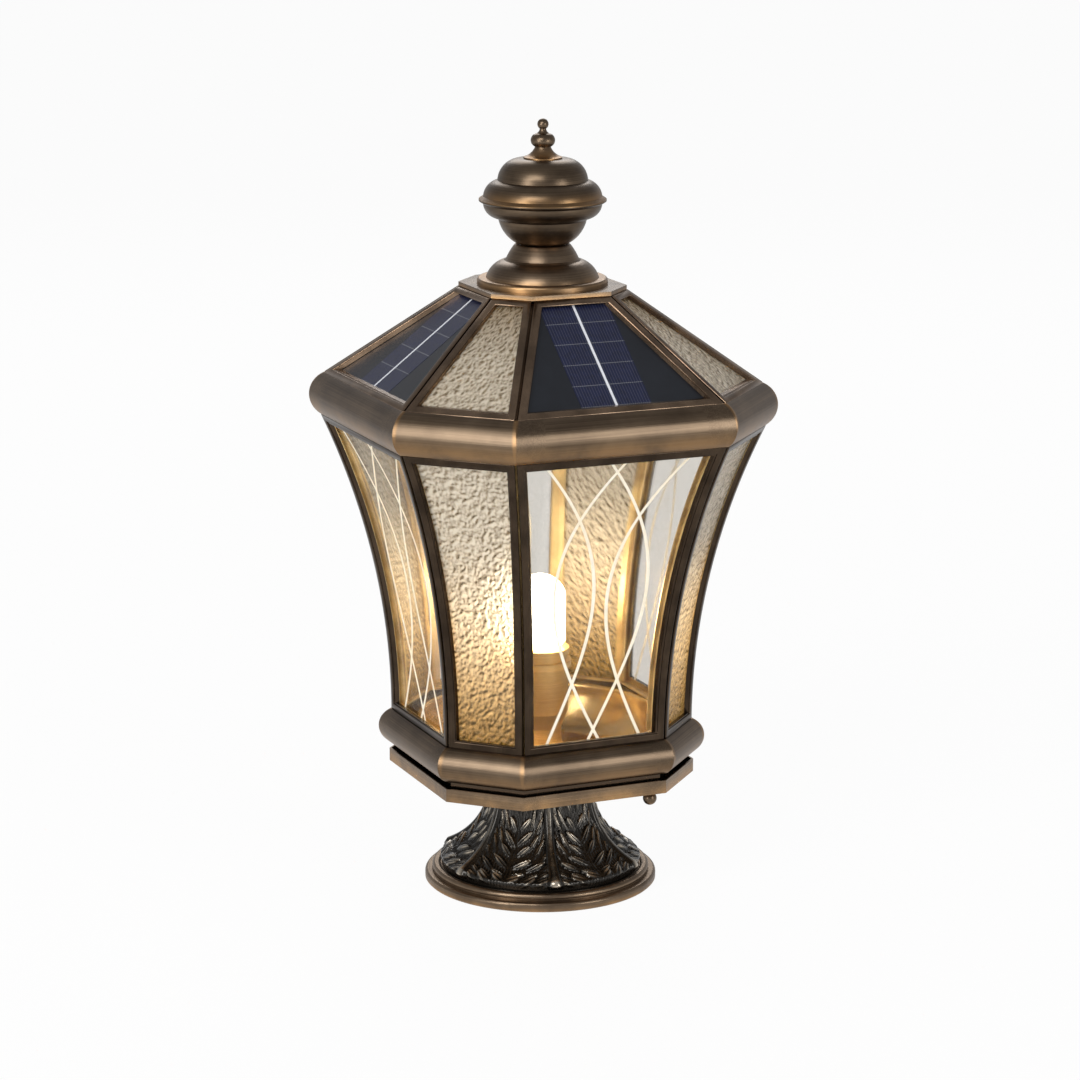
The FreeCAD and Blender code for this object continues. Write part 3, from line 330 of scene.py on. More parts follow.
def brushed_bronze(name, node, tones, reach, rub_band=0.35, rough=0.19, metallic=1.0):
    """Antique bronze, brushed along its length, with copper rubbed through low on the node.

    The tones are dark, body and rubbed. The plan that its reach follows is eight or round.
    """
    dark, body, rub = (opaque(tone) for tone in tones)
    finish = Finish(name)
    streak = finish.brushing(finish.flat_reach() if reach == "eight" else finish.round_reach())
    cloud = finish.noise(finish.place, 30.0, 4.0, 0.6)
    shade = (streak * 0.45 + cloud * 0.55).ease(0.25, 0.80)
    band = finish.share_up(node).ease(rub_band, 0.04) * cloud.ease(0.35, 0.65, 0.25, 0.9)
    return finish.brushed(band.blend(shade.blend(dark, body), rub), streak, cloud, rough, metallic)


def rolled_bronze(name, node, tones):
    """Bronze of a roll moulding, rubbed to copper along its mitres and its lower band."""
    dark, body, rub = (opaque(tone) for tone in tones)
    finish = Finish(name)
    streak = finish.brushing(finish.flat_reach())
    cloud = finish.noise(finish.place, 26.0, 4.0, 0.6)
    across = abs(finish.x).most(abs(finish.y))
    aside = abs(finish.x).least(abs(finish.y))
    mitre = abs(aside * math.cos(WIDE_HALF) - across * math.sin(WIDE_HALF))
    worn = mitre.ease(2.6 * MM, 0.3 * MM) * cloud.ease(0.35, 0.65, 0.2, 0.9)
    band = finish.share_up(node).ease(0.52, 0.12) * cloud.ease(0.30, 0.60, 0.25, 0.70)
    shade = (streak * 0.55 + cloud * 0.45).ease(0.25, 0.85)
    return finish.brushed(worn.most(band).blend(shade.blend(dark, body), rub), streak, cloud, 0.23)


def frame_bronze(name, tones, brasses, face, lip):
    """Darker bronze of the glazing frames; from behind their lips they are left as brighter brass, painted
    light that stands in for the bulb's glow on them.
    """
    finish = Finish(name)
    grain = finish.noise(finish.vector(finish.x * 900, finish.y * 900, finish.z * 40), 1.0, 2.0)
    cloud = finish.noise(finish.place, 45.0, 3.0)
    dark, body = (opaque(tone) for tone in tones)
    outer = (grain * 0.25 + cloud * 0.75).ease(0.3, 0.75).blend(dark, body)
    # Painted light: brighter brass behind the lips for the bulb's light inside
    inner = cloud.ease(0.3, 0.7).blend(*(opaque(tone) for tone in brasses))
    inside = finish.depth_behind(face).ease(lip - 0.8 * MM, lip - 0.2 * MM)
    return finish.surface({
        "Base Color": inside.blend(outer, inner),
        "Metallic": inside.ease(0.0, 1.0, 1.0, 0.4),
        "Roughness": 0.17 + grain * 0.08 + inside * 0.12,
        "Normal": finish.bump(grain, 0.00002, 0.3),
    })


def pan_brass(name, tones, edge):
    """Tarnished brass of the floor pan and its dish, with painted shade on its floor and painted light
    brightest at the rim, and dark bronze outside.
    """
    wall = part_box("floor_pan")[1].x
    finish = Finish(name)
    cloud = finish.noise(finish.place, 28.0, 4.0, 0.6)
    spin = finish.noise(finish.vector(finish.round_reach() * 900, 0.0, finish.z * 900), 1.0, 2.0)
    shade = (cloud * 0.7 + spin * 0.3).ease(0.3, 0.75)
    dark, bright = tones
    # Painted shade low in the pan and painted light up at its rim
    rim = finish.share_up("floor_pan").ease(0.35, 0.92)
    painted_shade_floor = shade.blend(opaque(dark, 0.8), opaque(dark, 1.6))
    tone = rim.blend(painted_shade_floor, shade.blend(opaque(dark), opaque(bright)))
    outer = finish.flat_reach(NARROW_RATIO).ease(wall - 0.8 * MM, wall - 0.3 * MM)
    return finish.surface({
        "Base Color": outer.blend(tone, opaque(edge)),
        "Metallic": outer.ease(0.0, 1.0, 0.75, 1.0),
        "Roughness": 0.13 + cloud * 0.12,
        "Normal": finish.bump(spin, 0.00005, 0.4),
    })


def cast_bronze(name, dark, rub):
    """Blackened casting whose ridges are rubbed bright, with painted highlights on the lobes' tips; the
    mesh holds how far each point stands out.
    """
    finish = Finish(name)
    ridge = finish.start.node("Attribute", {"attribute_name": "ridge"}, output=2)
    grit = finish.noise(finish.place, 420.0, 3.0, 0.6)
    cloud = finish.noise(finish.place, 70.0, 3.0)
    # Rubbed wear on the ridges, and painted highlights where they stand out most
    rubbed = (ridge + grit * 0.20 + cloud * 0.40 - 0.30).ease(0.28, 0.86)
    return finish.surface({
        "Base Color": rubbed.blend(opaque(dark), opaque(rub)),
        "Metallic": 0.9,
        "Roughness": 0.24 - rubbed * 0.10 + grit * 0.08,
        "Coat Weight": 0.35,
        "Coat Roughness": 0.07,
        "Normal": finish.bump(grit, 0.0002, 0.25),
    })


def clear_glass(name, tint):
    """Lightly smoked sheet glass with a faint wave, open enough to let the studio's light in."""
    finish = Finish(name)
    wave = finish.noise(finish.place, 22.0, 2.0)
    dust = finish.noise(finish.place, 300.0, 3.0, 0.7)
    return finish.surface({
        "Base Color": wave.blend(opaque(tint, 0.9), opaque(tint)),
        "Roughness": dust.ease(0.5, 0.9, 0.0, 0.05),
        "IOR": 1.01,
        "Transmission Weight": 1.0,
        "Coat Weight": 1.0,
        "Alpha": dust.ease(0.3, 0.7, 0.28, 0.36),
        "Normal": finish.bump(wave, 0.0004, 0.15),
    })


# Painted highlights on the brightest ridges of the hammered glass, high up and at its golden foot, and its
# painted glow past the bulb's reach
PAINTED_GLINT = (1.0, 0.97, 0.90)
PAINTED_GOLD_GLINT = (0.85, 0.60, 0.20)
UNLIT = (0.0, 0.0, 0.0)


def hammered_glass(name, node, tones, glow, bulb, gold_from, gold_to, strength):
    """Hammered glass with a painted glow of the bulb behind it, and painted light and shade on its marks by
    how they lean to a fixed light, which the mesh holds.

    The tones are the lit ridges', the painted shade of the hollows and the painted gold of the bulb's
    light, which comes in between two shares of the pane's height.
    """
    tint, shade, gold = (opaque(tone) for tone in tones)
    finish = Finish(name)
    lean = finish.start.node("Attribute", {"attribute_name": "lean"}, output=2)
    mark = finish.noise(finish.place, 330.0, 4.0, 0.65)
    # Painted light and shade: the marks' colour follows how they lean to a fixed light
    lit = lean + mark * 0.5 - 0.25
    away = finish.start.node(
        "VectorMath", {"operation": "DISTANCE"}, {0: finish.place, 1: tuple(bulb)}, output=1)
    painted_glow = away.ease(0.16, 0.085) ** 2.0
    # Painted gold of the bulb's light, between two shares of the pane's height
    painted_gold = finish.share_up(node).ease(gold_from, gold_to)
    # Painted shade where the marks lean away from the light
    hollow = painted_gold.blend(shade, opaque(tones[2], 0.35))
    ridge = lit.ease(0.26, 0.66).blend(hollow, painted_gold.blend(tint, gold))
    painted_glint = painted_gold.blend(opaque(PAINTED_GLINT), opaque(PAINTED_GOLD_GLINT))
    return finish.surface({
        "Base Color": lit.ease(0.68, 0.86).blend(ridge, painted_glint),
        "Roughness": 0.06 + mark * 0.08,
        "IOR": 1.45,
        "Transmission Weight": 0.58,
        # Painted glow: the pane shines near the bulb as if lit through from behind
        "Emission Color": (painted_glow * lit.ease(0.2, 0.8)).blend(opaque(UNLIT), opaque(glow)),
        "Emission Strength": strength,
        "Normal": finish.bump(mark, 0.0012, 0.8),
    })


def frosted_line(name, tone, glow):
    """Frosted cut of an etched line, with a painted glow of the bulb's light."""
    finish = Finish(name)
    grain = finish.noise(finish.place, 900.0, 2.0)
    cloud = finish.noise(finish.place, 35.0, 2.0)
    return finish.surface({
        "Base Color": cloud.ease(0.3, 0.7).blend(opaque(tone), opaque(tone, 0.8)),
        "Roughness": 0.45 + grain * 0.2,
        "Alpha": cloud.ease(0.3, 0.7, 0.80, 0.95),
        # Painted glow: the line shines as if the bulb lit it
        "Emission Color": cloud.ease(0.25, 0.75).blend(opaque(glow, 0.5), opaque(tone)),
        "Emission Strength": 0.30,
        "Normal": finish.bump(grain, 0.0001, 0.4),
    })


def dark_laminate(name, tone):
    """Black backing sheet under the solar panel's matt cover."""
    finish = Finish(name)
    cloud = finish.noise(finish.place, 60.0, 3.0)
    speck = finish.noise(finish.place, 1500.0, 2.0)
    return finish.surface({
        "Base Color": cloud.blend(opaque(tone, 0.7), opaque(tone, 1.3)),
        "Roughness": 0.30 + speck * 0.12,
        "Specular IOR Level": 0.4,
        "Normal": finish.bump(speck, 0.00005, 0.2),
    })


def solar_blue(name, tone, metal, spacing):
    """Crystal grain, fine fingers and dotted cell edges of the solar strip.

    The mesh's UV runs across in metres and along in cells.
    """
    finish = Finish(name)
    chart = finish.start.node("UVMap", {"uv_map": "UVMap"})
    across, along = (finish.start.node("SeparateXYZ", inputs={0: chart}, output=axis) for axis in (0, 1))
    grain = finish.start.node(
        "TexVoronoi", {"feature": "F1"}, {"Vector": finish.place, "Scale": 330.0}, output=1)
    crystal = finish.start.node("SeparateXYZ", inputs={0: grain}, output=0)
    finger = abs(across.wave(spacing) - 0.5).ease(0.38, 0.46) * 0.24
    dots = abs(across.wave(spacing * 0.75) - 0.5).ease(0.10, 0.22)
    edge = abs(along.wave(1.0) - 0.5).ease(0.478, 0.492) * dots * 0.8
    blue = crystal.blend(opaque(tone, 0.8), opaque(tone, 1.2))
    return finish.surface({
        "Base Color": finger.most(edge).blend(blue, opaque(metal, 0.34)),
        "Roughness": 0.28 + crystal * 0.08,
        "Specular IOR Level": 0.4,
    })


def bright_bar(name, tone):
    """Tinned bar along the cells, with a faint painted glow."""
    finish = Finish(name)
    grain = finish.noise(finish.place, 700.0, 2.0)
    return finish.surface({
        "Base Color": grain.blend(opaque(tone, 0.85), opaque(tone)),
        "Metallic": 0.2,
        "Roughness": 0.3 + grain * 0.15,
        # Painted glow that keeps the bar bright
        "Emission Color": opaque(tone),
        "Emission Strength": 0.15,
    })


BULB_FROST = (0.9, 0.86, 0.78)
BULB_WHITE = (1.0, 0.90, 0.70)
BULB_STRENGTH = 26.0


def lit_bulb(name, glow):
    """Frosted tube that shines, a little warmer at its neck."""
    finish = Finish(name)
    frost = finish.noise(finish.place, 200.0, 2.0)
    shine = finish.share_up("bulb").ease(0.30, 0.55).blend(opaque(glow), opaque(BULB_WHITE))
    return finish.surface({
        "Base Color": opaque(BULB_FROST),
        "Roughness": 0.4 + frost * 0.1,
        "Emission Color": shine,
        "Emission Strength": BULB_STRENGTH,
    })


ZINC_TONES = ((0.42, 0.42, 0.41), (0.62, 0.61, 0.58))


def plain_steel(name):
    """Zinc-plated steel with a fine spangle."""
    finish = Finish(name)
    spangle = finish.noise(finish.place, 160.0, 3.0)
    return finish.surface({
        "Base Color": spangle.blend(*(opaque(tone) for tone in ZINC_TONES)),
        "Metallic": 1.0,
        "Roughness": 0.32 + spangle * 0.2,
    })


def plain_plastic(name, tone):
    """Moulded plastic with a fine grain."""
    finish = Finish(name)
    grain = finish.noise(finish.place, 800.0, 2.0)
    return finish.surface({
        "Base Color": grain.blend(opaque(tone, 0.85), opaque(tone)),
        "Roughness": 0.45 + grain * 0.2,
        "Normal": finish.bump(grain, 0.0001, 0.3),
    })


# Modelling


def select_only(piece):
    bpy.ops.object.select_all(action="DESELECT")
    piece.select_set(True)
    bpy.context.view_layer.objects.active = piece


def apply_modifier(piece, kind, **settings):
    """Add a modifier, set it up and apply it."""
    modifier = piece.modifiers.new(kind.title(), kind)
    for name, setting in settings.items():
        setattr(modifier, name, setting)
    select_only(piece)
    bpy.ops.object.modifier_apply(modifier=modifier.name)


def shaped_grid(name, columns, rows, place):
    """A grid whose points go to place(across, up), both counted from 0 to 1."""
    bpy.ops.object.select_all(action="DESELECT")
    bpy.ops.mesh.primitive_grid_add(x_subdivisions=columns, y_subdivisions=rows, size=1)
    piece = bpy.context.active_object
    piece.name = name
    for point in piece.data.vertices:
        point.co = place(point.co.x + 0.5, point.co.y + 0.5)
    return piece


def turned_copy(piece, name, degrees):
    """A copy with its own mesh, turned about the lamp's axis."""
    copy = piece.copy()
    copy.data = piece.data.copy()
    copy.name = name
    bpy.context.scene.collection.objects.link(copy)
    copy.data.transform(Matrix.Rotation(math.radians(degrees), 4, "Z"))
    return copy


def discard(piece):
    bpy.data.objects.remove(piece, do_unlink=True)


def joined(pieces):
    """One piece made of several."""
    bpy.ops.object.select_all(action="DESELECT")
    for piece in pieces:
        piece.select_set(True)
    bpy.context.view_layer.objects.active = pieces[0]
    bpy.ops.object.join()
    return bpy.context.active_object


def close_seams(piece, outward=False):
    """Merge the points that meet along seams, and turn a closed piece's faces outward where asked."""
    select_only(piece)
    bpy.ops.object.mode_set(mode="EDIT")
    bpy.ops.mesh.select_all(action="SELECT")
    bpy.ops.mesh.remove_doubles(threshold=MERGE_REACH)
    if outward:
        bpy.ops.mesh.normals_make_consistent(inside=False)
    bpy.ops.object.mode_set(mode="OBJECT")


def coat(piece, material):
    """Make a material the only one on a piece or a CAD node."""
    piece.data.materials.clear()
    piece.data.materials.append(material)


def dress(piece, material, smooth=None):
    """Give a finished piece its material and its ride on the lamp."""
    coat(piece, material)
    if smooth is not None:
        select_only(piece)
        bpy.ops.object.shade_smooth_by_angle(angle=math.radians(smooth))
    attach(piece, BODY)
    return piece


class Face:
    """One kind of glazed face, looking along +X: where its outer line and what lies behind it are."""

    def __init__(self, half, low, high, bottom, top, curved):
        self.half = half
        self.low = low
        self.high = high
        self.bottom = bottom
        self.top = top
        spread = top - bottom
        rise = high - low
        self.slope = spread / rise
        self.bend = (rise ** 2 + spread ** 2) / (2 * spread) if curved else None

    def reach(self, level, depth):
        """Distance from the axis at a level, on the line a depth behind the face."""
        run = level - self.low
        if self.bend:
            return self.bottom + self.bend - math.sqrt((self.bend + depth) ** 2 - run ** 2)
        return self.bottom + run * self.slope - depth * math.hypot(1, self.slope)

    def half_width(self, level, depth, inset):
        """From the face's middle to a line at an inset from the corner's plane."""
        return self.reach(level, depth) * math.tan(self.half) - inset / math.cos(self.half)

    def level_at(self, up, end):
        """Height at a share of the way up the face, in from both of its ends."""
        return self.low + end + up * (self.high - self.low - 2 * end)

    def point(self, aside, level, depth):
        return Vector((self.reach(level, depth), aside, level))

    def sheet(self, name, columns, rows, depth, inset, end):
        """A grid over the face at a depth, in from the corners and the ends."""
        def place(across, up):
            level = self.level_at(up, end)
            return self.point((2 * across - 1) * self.half_width(level, depth, inset), level, depth)
        return shaped_grid(name, columns, rows, place)


def body_face(half, ratio):
    sizes = bpy.context.scene.lamp_sizes
    low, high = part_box("body_frame_front")
    bottom = -high.y + sizes.frame_depth
    return Face(half, low.z, high.z, bottom * ratio, -low.y * ratio, True)


def roof_face(half, ratio):
    sizes = bpy.context.scene.lamp_sizes
    low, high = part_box("roof_frame_front")
    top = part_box("crown_plate")[1].x - sizes.crown_overhang
    return Face(half, low.z, high.z, -low.y * ratio, top * ratio, False)


# Rows of the grid under a curved bead, and the narrowest turn that its bevel rounds
BEAD_ROWS = 26
BEAD_EDGE = math.radians(50)


def bead_ring(face, name):
    """A rounded bead that runs round a face's frame, half sunk into its lip."""
    sizes = bpy.context.scene.lamp_sizes
    rows = BEAD_ROWS if face.bend else 1
    ring = face.sheet(name, 1, rows, -sizes.bead_rise, sizes.frame_gap / 2 + EDGE_ROOM, EDGE_ROOM)
    select_only(ring)
    bpy.ops.object.mode_set(mode="EDIT")
    bpy.ops.mesh.select_all(action="SELECT")
    bpy.ops.mesh.inset(thickness=sizes.bead_width, use_boundary=True, use_even_offset=True)
    bpy.ops.mesh.delete(type="FACE")
    bpy.ops.object.mode_set(mode="OBJECT")
    apply_modifier(ring, "SOLIDIFY", thickness=sizes.bead_depth, offset=-1)
    apply_modifier(
        ring, "BEVEL", width=sizes.bead_round, segments=3, limit_method="ANGLE", angle_limit=BEAD_EDGE)
    return ring


def corner_strips(face, name):
    """The two upright strips that cover the edges of a face's frame on the inside."""
    sizes = bpy.context.scene.lamp_sizes
    depth = sizes.frame_depth + SLIVER
    halves = []
    for sign in (-1, 1):
        def place(across, up, sign=sign):
            level = face.level_at(up, sizes.window_rail)
            inset = sizes.strip_width * (1 - across if sign > 0 else across) + EDGE_ROOM
            return face.point(sign * face.half_width(level, depth, inset), level, depth)
        halves.append(shaped_grid(name, 1, BEAD_ROWS, place))
    strips = joined(halves)
    apply_modifier(strips, "SOLIDIFY", thickness=sizes.strip_depth, offset=-1)
    return strips


# Painted light: how much paler the roof's frames are made than the body's, as if lit from above, and how
# many lips deep their brass, painted brighter for the bulb's light, starts
ROOF_PAINTED_LIGHT = 4.0
ROOF_BRASS_LIPS = 3


class LAMP_OT_frames(bpy.types.Operator):
    """Round the front of every glazing frame with a bead, and line the cage's corners with brass"""
    bl_idname = "lamp.frames"
    bl_label = "Frame Beads"

    def execute(self, context):
        sizes = context.scene.lamp_sizes
        colours = context.scene.lamp_colours
        brasses = (colours.brass, colours.brass_dark)
        tones = (colours.frame_dark, colours.frame_tone)
        # Painted light: the roof's frames get a paler copy of the body's bronze
        paler = [Vector(tone) * ROOF_PAINTED_LIGHT for tone in tones]
        cage = frame_bronze("cage_bronze", tones, brasses, body_face(WIDE_HALF, 1.0), sizes.body_lip)
        roof = frame_bronze(
            "roof_bronze", paler, brasses, roof_face(WIDE_HALF, 1.0), ROOF_BRASS_LIPS * sizes.roof_lip)
        for part, build, material in (("body", body_face, cage), ("roof", roof_face, roof)):
            for faces, half, ratio in FACE_KINDS:
                ring = bead_ring(build(half, ratio), "bead")
                for side, degrees in faces.items():
                    copy = turned_copy(ring, f"{part}_bead_{side}", degrees)
                    dress(copy, material, smooth=40)
                    coat(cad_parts[f"{part}_frame_{side}"], material)
                discard(ring)
        for faces, half, ratio in FACE_KINDS:
            strips = corner_strips(body_face(half, ratio), "strips")
            for side, degrees in faces.items():
                copy = turned_copy(strips, f"corner_strips_{side}", degrees)
                dress(copy, cage, smooth=40)
            discard(strips)
        return {"FINISHED"}


# Share of the bulb's height that the painted glow on the hammered glass spreads from
BULB_HEART = 0.66
# Where the painted light on the marks comes from, on a pane that looks along +X, and how sharply their
# painted light and shade show it
PAINTED_MARK_LIGHT = Vector((0, -0.6, 0.8))
PAINTED_MARK_GAIN = 2.4


class LAMP_OT_hammered_glass(bpy.types.Operator):
    """Model the hammered panes of the narrow faces"""
    bl_idname = "lamp.hammered_glass"
    bl_label = "Hammered Glass"

    def execute(self, context):
        sizes = context.scene.lamp_sizes
        colours = context.scene.lamp_colours
        low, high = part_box("bulb")
        bulb = Vector((0, 0, low.z + BULB_HEART * (high.z - low.z)))
        marks = bpy.data.textures.new("hammer_marks", "CLOUDS")
        marks.noise_basis = "ORIGINAL_PERLIN"
        marks.noise_type = "HARD_NOISE"
        marks.noise_scale = sizes.hammer_size
        marks.noise_depth = 1
        # Depth and thickness, where the painted gold of the bulb's light starts and where it is full, and
        # the strength of the painted glow
        kinds = (
            ("hammered_pane", body_face, sizes.body_lip, sizes.body_pane, 0.55, 0.0, 0.75),
            ("roof_pane", roof_face, sizes.roof_lip, sizes.roof_pane, 0.40, 1.5, 0.2),
        )
        tones = (colours.hammered_glass, colours.hammered_painted_shade, colours.hammered_painted_gold)
        for part, build, lip, thickness, gold_from, gold_to, strength in kinds:
            face = build(NARROW_HALF, NARROW_RATIO)
            glass = hammered_glass(
                f"{part}_glass", f"{part}_back_left", tones, colours.glow, bulb,
                gold_from, gold_to, strength)
            tall = math.hypot(face.high - face.low, face.top - face.bottom)
            wide = 2 * max(face.bottom, face.top) * math.tan(face.half)
            sheet = face.sheet(
                "glass", int(wide / sizes.hammer_grid), int(tall / sizes.hammer_grid),
                lip, sizes.pane_inset, sizes.pane_end)
            for side, degrees in NARROW_FACES.items():
                pane = turned_copy(sheet, f"{part}_cast_{side}", degrees)
                pane.vertex_groups.new(name="back")
                apply_modifier(
                    pane, "SOLIDIFY", thickness=thickness, offset=-1, shell_vertex_group="back")
                ways = [point.normal.copy() for point in pane.data.vertices]
                apply_modifier(
                    pane, "DISPLACE", texture=marks, texture_coords="LOCAL", mid_level=0.0,
                    strength=-sizes.hammer_depth, vertex_group="back", invert_vertex_group=True)
                # Painted light and shade: how each mark leans to a fixed light is kept for the glass's
                # colour
                light = Matrix.Rotation(math.radians(degrees), 3, "Z") @ PAINTED_MARK_LIGHT
                front = pane.data.vertices[:len(ways) // 2]
                lean = [
                    0.5 + 0.5 * PAINTED_MARK_GAIN * (point.normal - way).dot(light)
                    for point, way in zip(front, ways)]
                lit = pane.data.attributes.new("lean", "FLOAT", "POINT")
                lit.data.foreach_set("value", lean + lean)
                dress(pane, glass, smooth=60)
                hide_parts(f"{part}_{side}")
            discard(sheet)
        return {"FINISHED"}


def wave_line(bow, sign):
    """Place across the window, from 0 to 1, of one etched line at a share of the way down."""
    start, swing = bow
    return lambda down: 0.5 + sign * (start + swing * math.sin(math.pi * down))


# Each pair of etched lines: where it starts from the middle, and how far it swings
ETCHED_PAIRS = ((0.39, -0.34), (-0.04, 0.38))
ETCH_STEPS = 60


class LAMP_OT_etched_glass(bpy.types.Operator):
    """Finish the clear panes and cut their crossing wave lines"""
    bl_idname = "lamp.etched_glass"
    bl_label = "Etched Glass"

    def execute(self, context):
        sizes = context.scene.lamp_sizes
        colours = context.scene.lamp_colours
        glass = clear_glass("etched_sheet", colours.clear_glass)
        frost = frosted_line("etched_line", colours.etch_tone, colours.glow)
        face = body_face(WIDE_HALF, 1.0)
        depth = sizes.body_lip - sizes.etch_rise
        lines = []
        for bow in ETCHED_PAIRS:
            for sign in (-1, 1):
                centre = wave_line(bow, sign)

                def place(across, up, centre=centre):
                    level = face.level_at(up, sizes.window_rail)
                    half = face.half_width(level, depth, sizes.window_inset)
                    aside = (2 * centre(1 - up) - 1) * half + (across - 0.5) * sizes.etch_width
                    crest = sizes.etch_rise * (1 - abs(2 * across - 1))
                    return face.point(aside, level, depth - crest)

                lines.append(shaped_grid("line", 2, ETCH_STEPS, place))
        waves = joined(lines)
        apply_modifier(waves, "SOLIDIFY", thickness=2 * sizes.etch_rise, offset=-1)
        for side, degrees in WIDE_FACES.items():
            copy = turned_copy(waves, f"etched_lines_{side}", degrees)
            dress(copy, frost, smooth=60)
            coat(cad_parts[f"etched_pane_{side}"], glass)
        discard(waves)
        return {"FINISHED"}


CELLS = 5
BAR_ROWS = 12
CELL_LAYER = 0.12 * MM


class LAMP_OT_solar_cells(bpy.types.Operator):
    """Lay the strip of solar cells and its bar under each wide roof face"""
    bl_idname = "lamp.solar_cells"
    bl_label = "Solar Cells"

    def execute(self, context):
        sizes = context.scene.lamp_sizes
        colours = context.scene.lamp_colours
        face = roof_face(WIDE_HALF, 1.0)
        laminate = dark_laminate("solar_sheet", colours.laminate)
        blue = solar_blue("solar_cell", colours.cell_blue, colours.busbar, sizes.finger_gap)
        metal = bright_bar("solar_busbar", colours.busbar)
        foot, head = (face.level_at(up, sizes.roof_rail) for up in (0, 1))

        def strip(name, rows, width, depth):
            def place(across, up):
                return face.point((across - 0.5) * width, foot + up * (head - foot), depth)
            return shaped_grid(name, 1, rows, place)

        cells = strip("cells", CELLS, sizes.cell_width, sizes.roof_lip - CELL_LAYER)
        chart = cells.data.uv_layers.active.data
        cell_rise = (head - foot) / CELLS
        for loop in cells.data.loops:
            point = cells.data.vertices[loop.vertex_index].co
            chart[loop.index].uv = (point.y, (point.z - foot) / cell_rise)
        bar = strip("bar", BAR_ROWS, sizes.busbar_width, sizes.roof_lip - 2 * CELL_LAYER)
        for layer in (cells, bar):
            apply_modifier(layer, "SOLIDIFY", thickness=CELL_LAYER, offset=-1)
        for side, degrees in WIDE_FACES.items():
            dress(turned_copy(cells, f"solar_cells_{side}", degrees), blue)
            dress(turned_copy(bar, f"solar_busbar_{side}", degrees), metal)
            coat(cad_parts[f"solar_panel_{side}"], laminate)
        discard(cells)
        discard(bar)
        return {"FINISHED"}


# Lobes of the leaves between two stems: middle across and down the bell, lean from upright,
# length, width and height, in millimetres and degrees; each is repeated on the other side
LOBES = (
    (3.2, 10.0, 12, 18.0, 3.2, 1.9), (3.8, 24.0, 16, 17.0, 3.8, 2.3), (4.6, 36.0, 28, 15.0, 5.2, 2.8),
    (5.4, 46.0, 34, 15.5, 5.8, 3.1), (6.6, 56.0, 42, 15.0, 6.0, 3.3),
    (8.0, 16.0, 6, 26.0, 2.9, 2.0), (9.8, 34.0, 10, 26.0, 3.2, 2.2), (12.0, 50.0, 18, 22.0, 3.8, 2.6),
    (11.8, 18.0, 4, 28.0, 2.5, 1.8), (14.0, 38.0, 8, 26.0, 2.9, 2.0), (17.0, 54.0, 17, 22.0, 3.6, 2.4),
    (15.4, 24.0, 3, 28.0, 2.3, 1.5), (18.6, 44.0, 8, 24.0, 2.8, 1.8), (22.6, 58.0, 17, 20.0, 3.4, 2.3),
    (7.5, 66.0, 58, 16.0, 6.4, 3.9), (18.0, 69.0, 50, 16.0, 6.2, 3.8), (27.5, 66.0, 30, 16.0, 5.0, 3.0),
    (6.5, 75.5, 72, 13.0, 5.2, 3.0), (16.5, 78.0, 68, 13.0, 5.2, 3.0), (26.5, 77.0, 58, 13.0, 5.0, 2.8),
    (31.5, 72.0, 30, 12.0, 4.4, 2.6),
    (5.0, 81.5, 60, 14.0, 8.0, 2.3), (17.0, 82.5, 50, 15.0, 8.5, 2.2), (28.0, 82.0, 66, 14.0, 8.0, 2.2),
)
# How far each lobe may stray from its place, its lean and its size
ASIDE_STRAY = 0.4
DOWN_STRAY = 1.2
LEAN_STRAY = 7
SIZE_STRAY = 0.15
STRAY_SEED = 5
LEAVES = 6
LEAF_TURN = 45
LEAF_COLUMNS = 90
LEAF_ROWS = 150
HOLLOW_ROWS = 12


class Lobe:
    """An almond-shaped lobe of a leaf, with a groove down its middle and a lifted tip."""
    GROOVE = 0.55
    GROOVE_WIDTH = 0.22
    # How much of the groove is cut and not only darkened
    GROOVE_CUT = 0.5
    TIP_LIFT = 0.38
    # Below 1 the lobe's outline is fuller than an almond
    FULLNESS = 0.7

    def __init__(self, aside, down, lean, length, width, height):
        self.aside = aside
        self.down = down
        self.sine = math.sin(math.radians(lean))
        self.cosine = math.cos(math.radians(lean))
        self.half_length = length / 2
        self.half_width = width / 2
        self.height = height

    def rise(self, aside, down):
        """Height over the bell, and the share of the lobe's full height, at a place on it."""
        right = aside - self.aside
        up = self.down - down
        along = (right * self.sine + up * self.cosine) / self.half_length
        across = (right * self.cosine - up * self.sine) / self.half_width
        room = max(0.0, 1 - along ** 2) ** self.FULLNESS
        if abs(across) >= room:
            return 0.0, 0.0
        dome = 1 - (across / room) ** 2
        share = dome * (1 - self.TIP_LIFT + self.TIP_LIFT * along)
        groove = self.GROOVE * math.exp(-(across / self.GROOVE_WIDTH) ** 2) * dome
        return self.height * (share - self.GROOVE_CUT * groove), share - groove


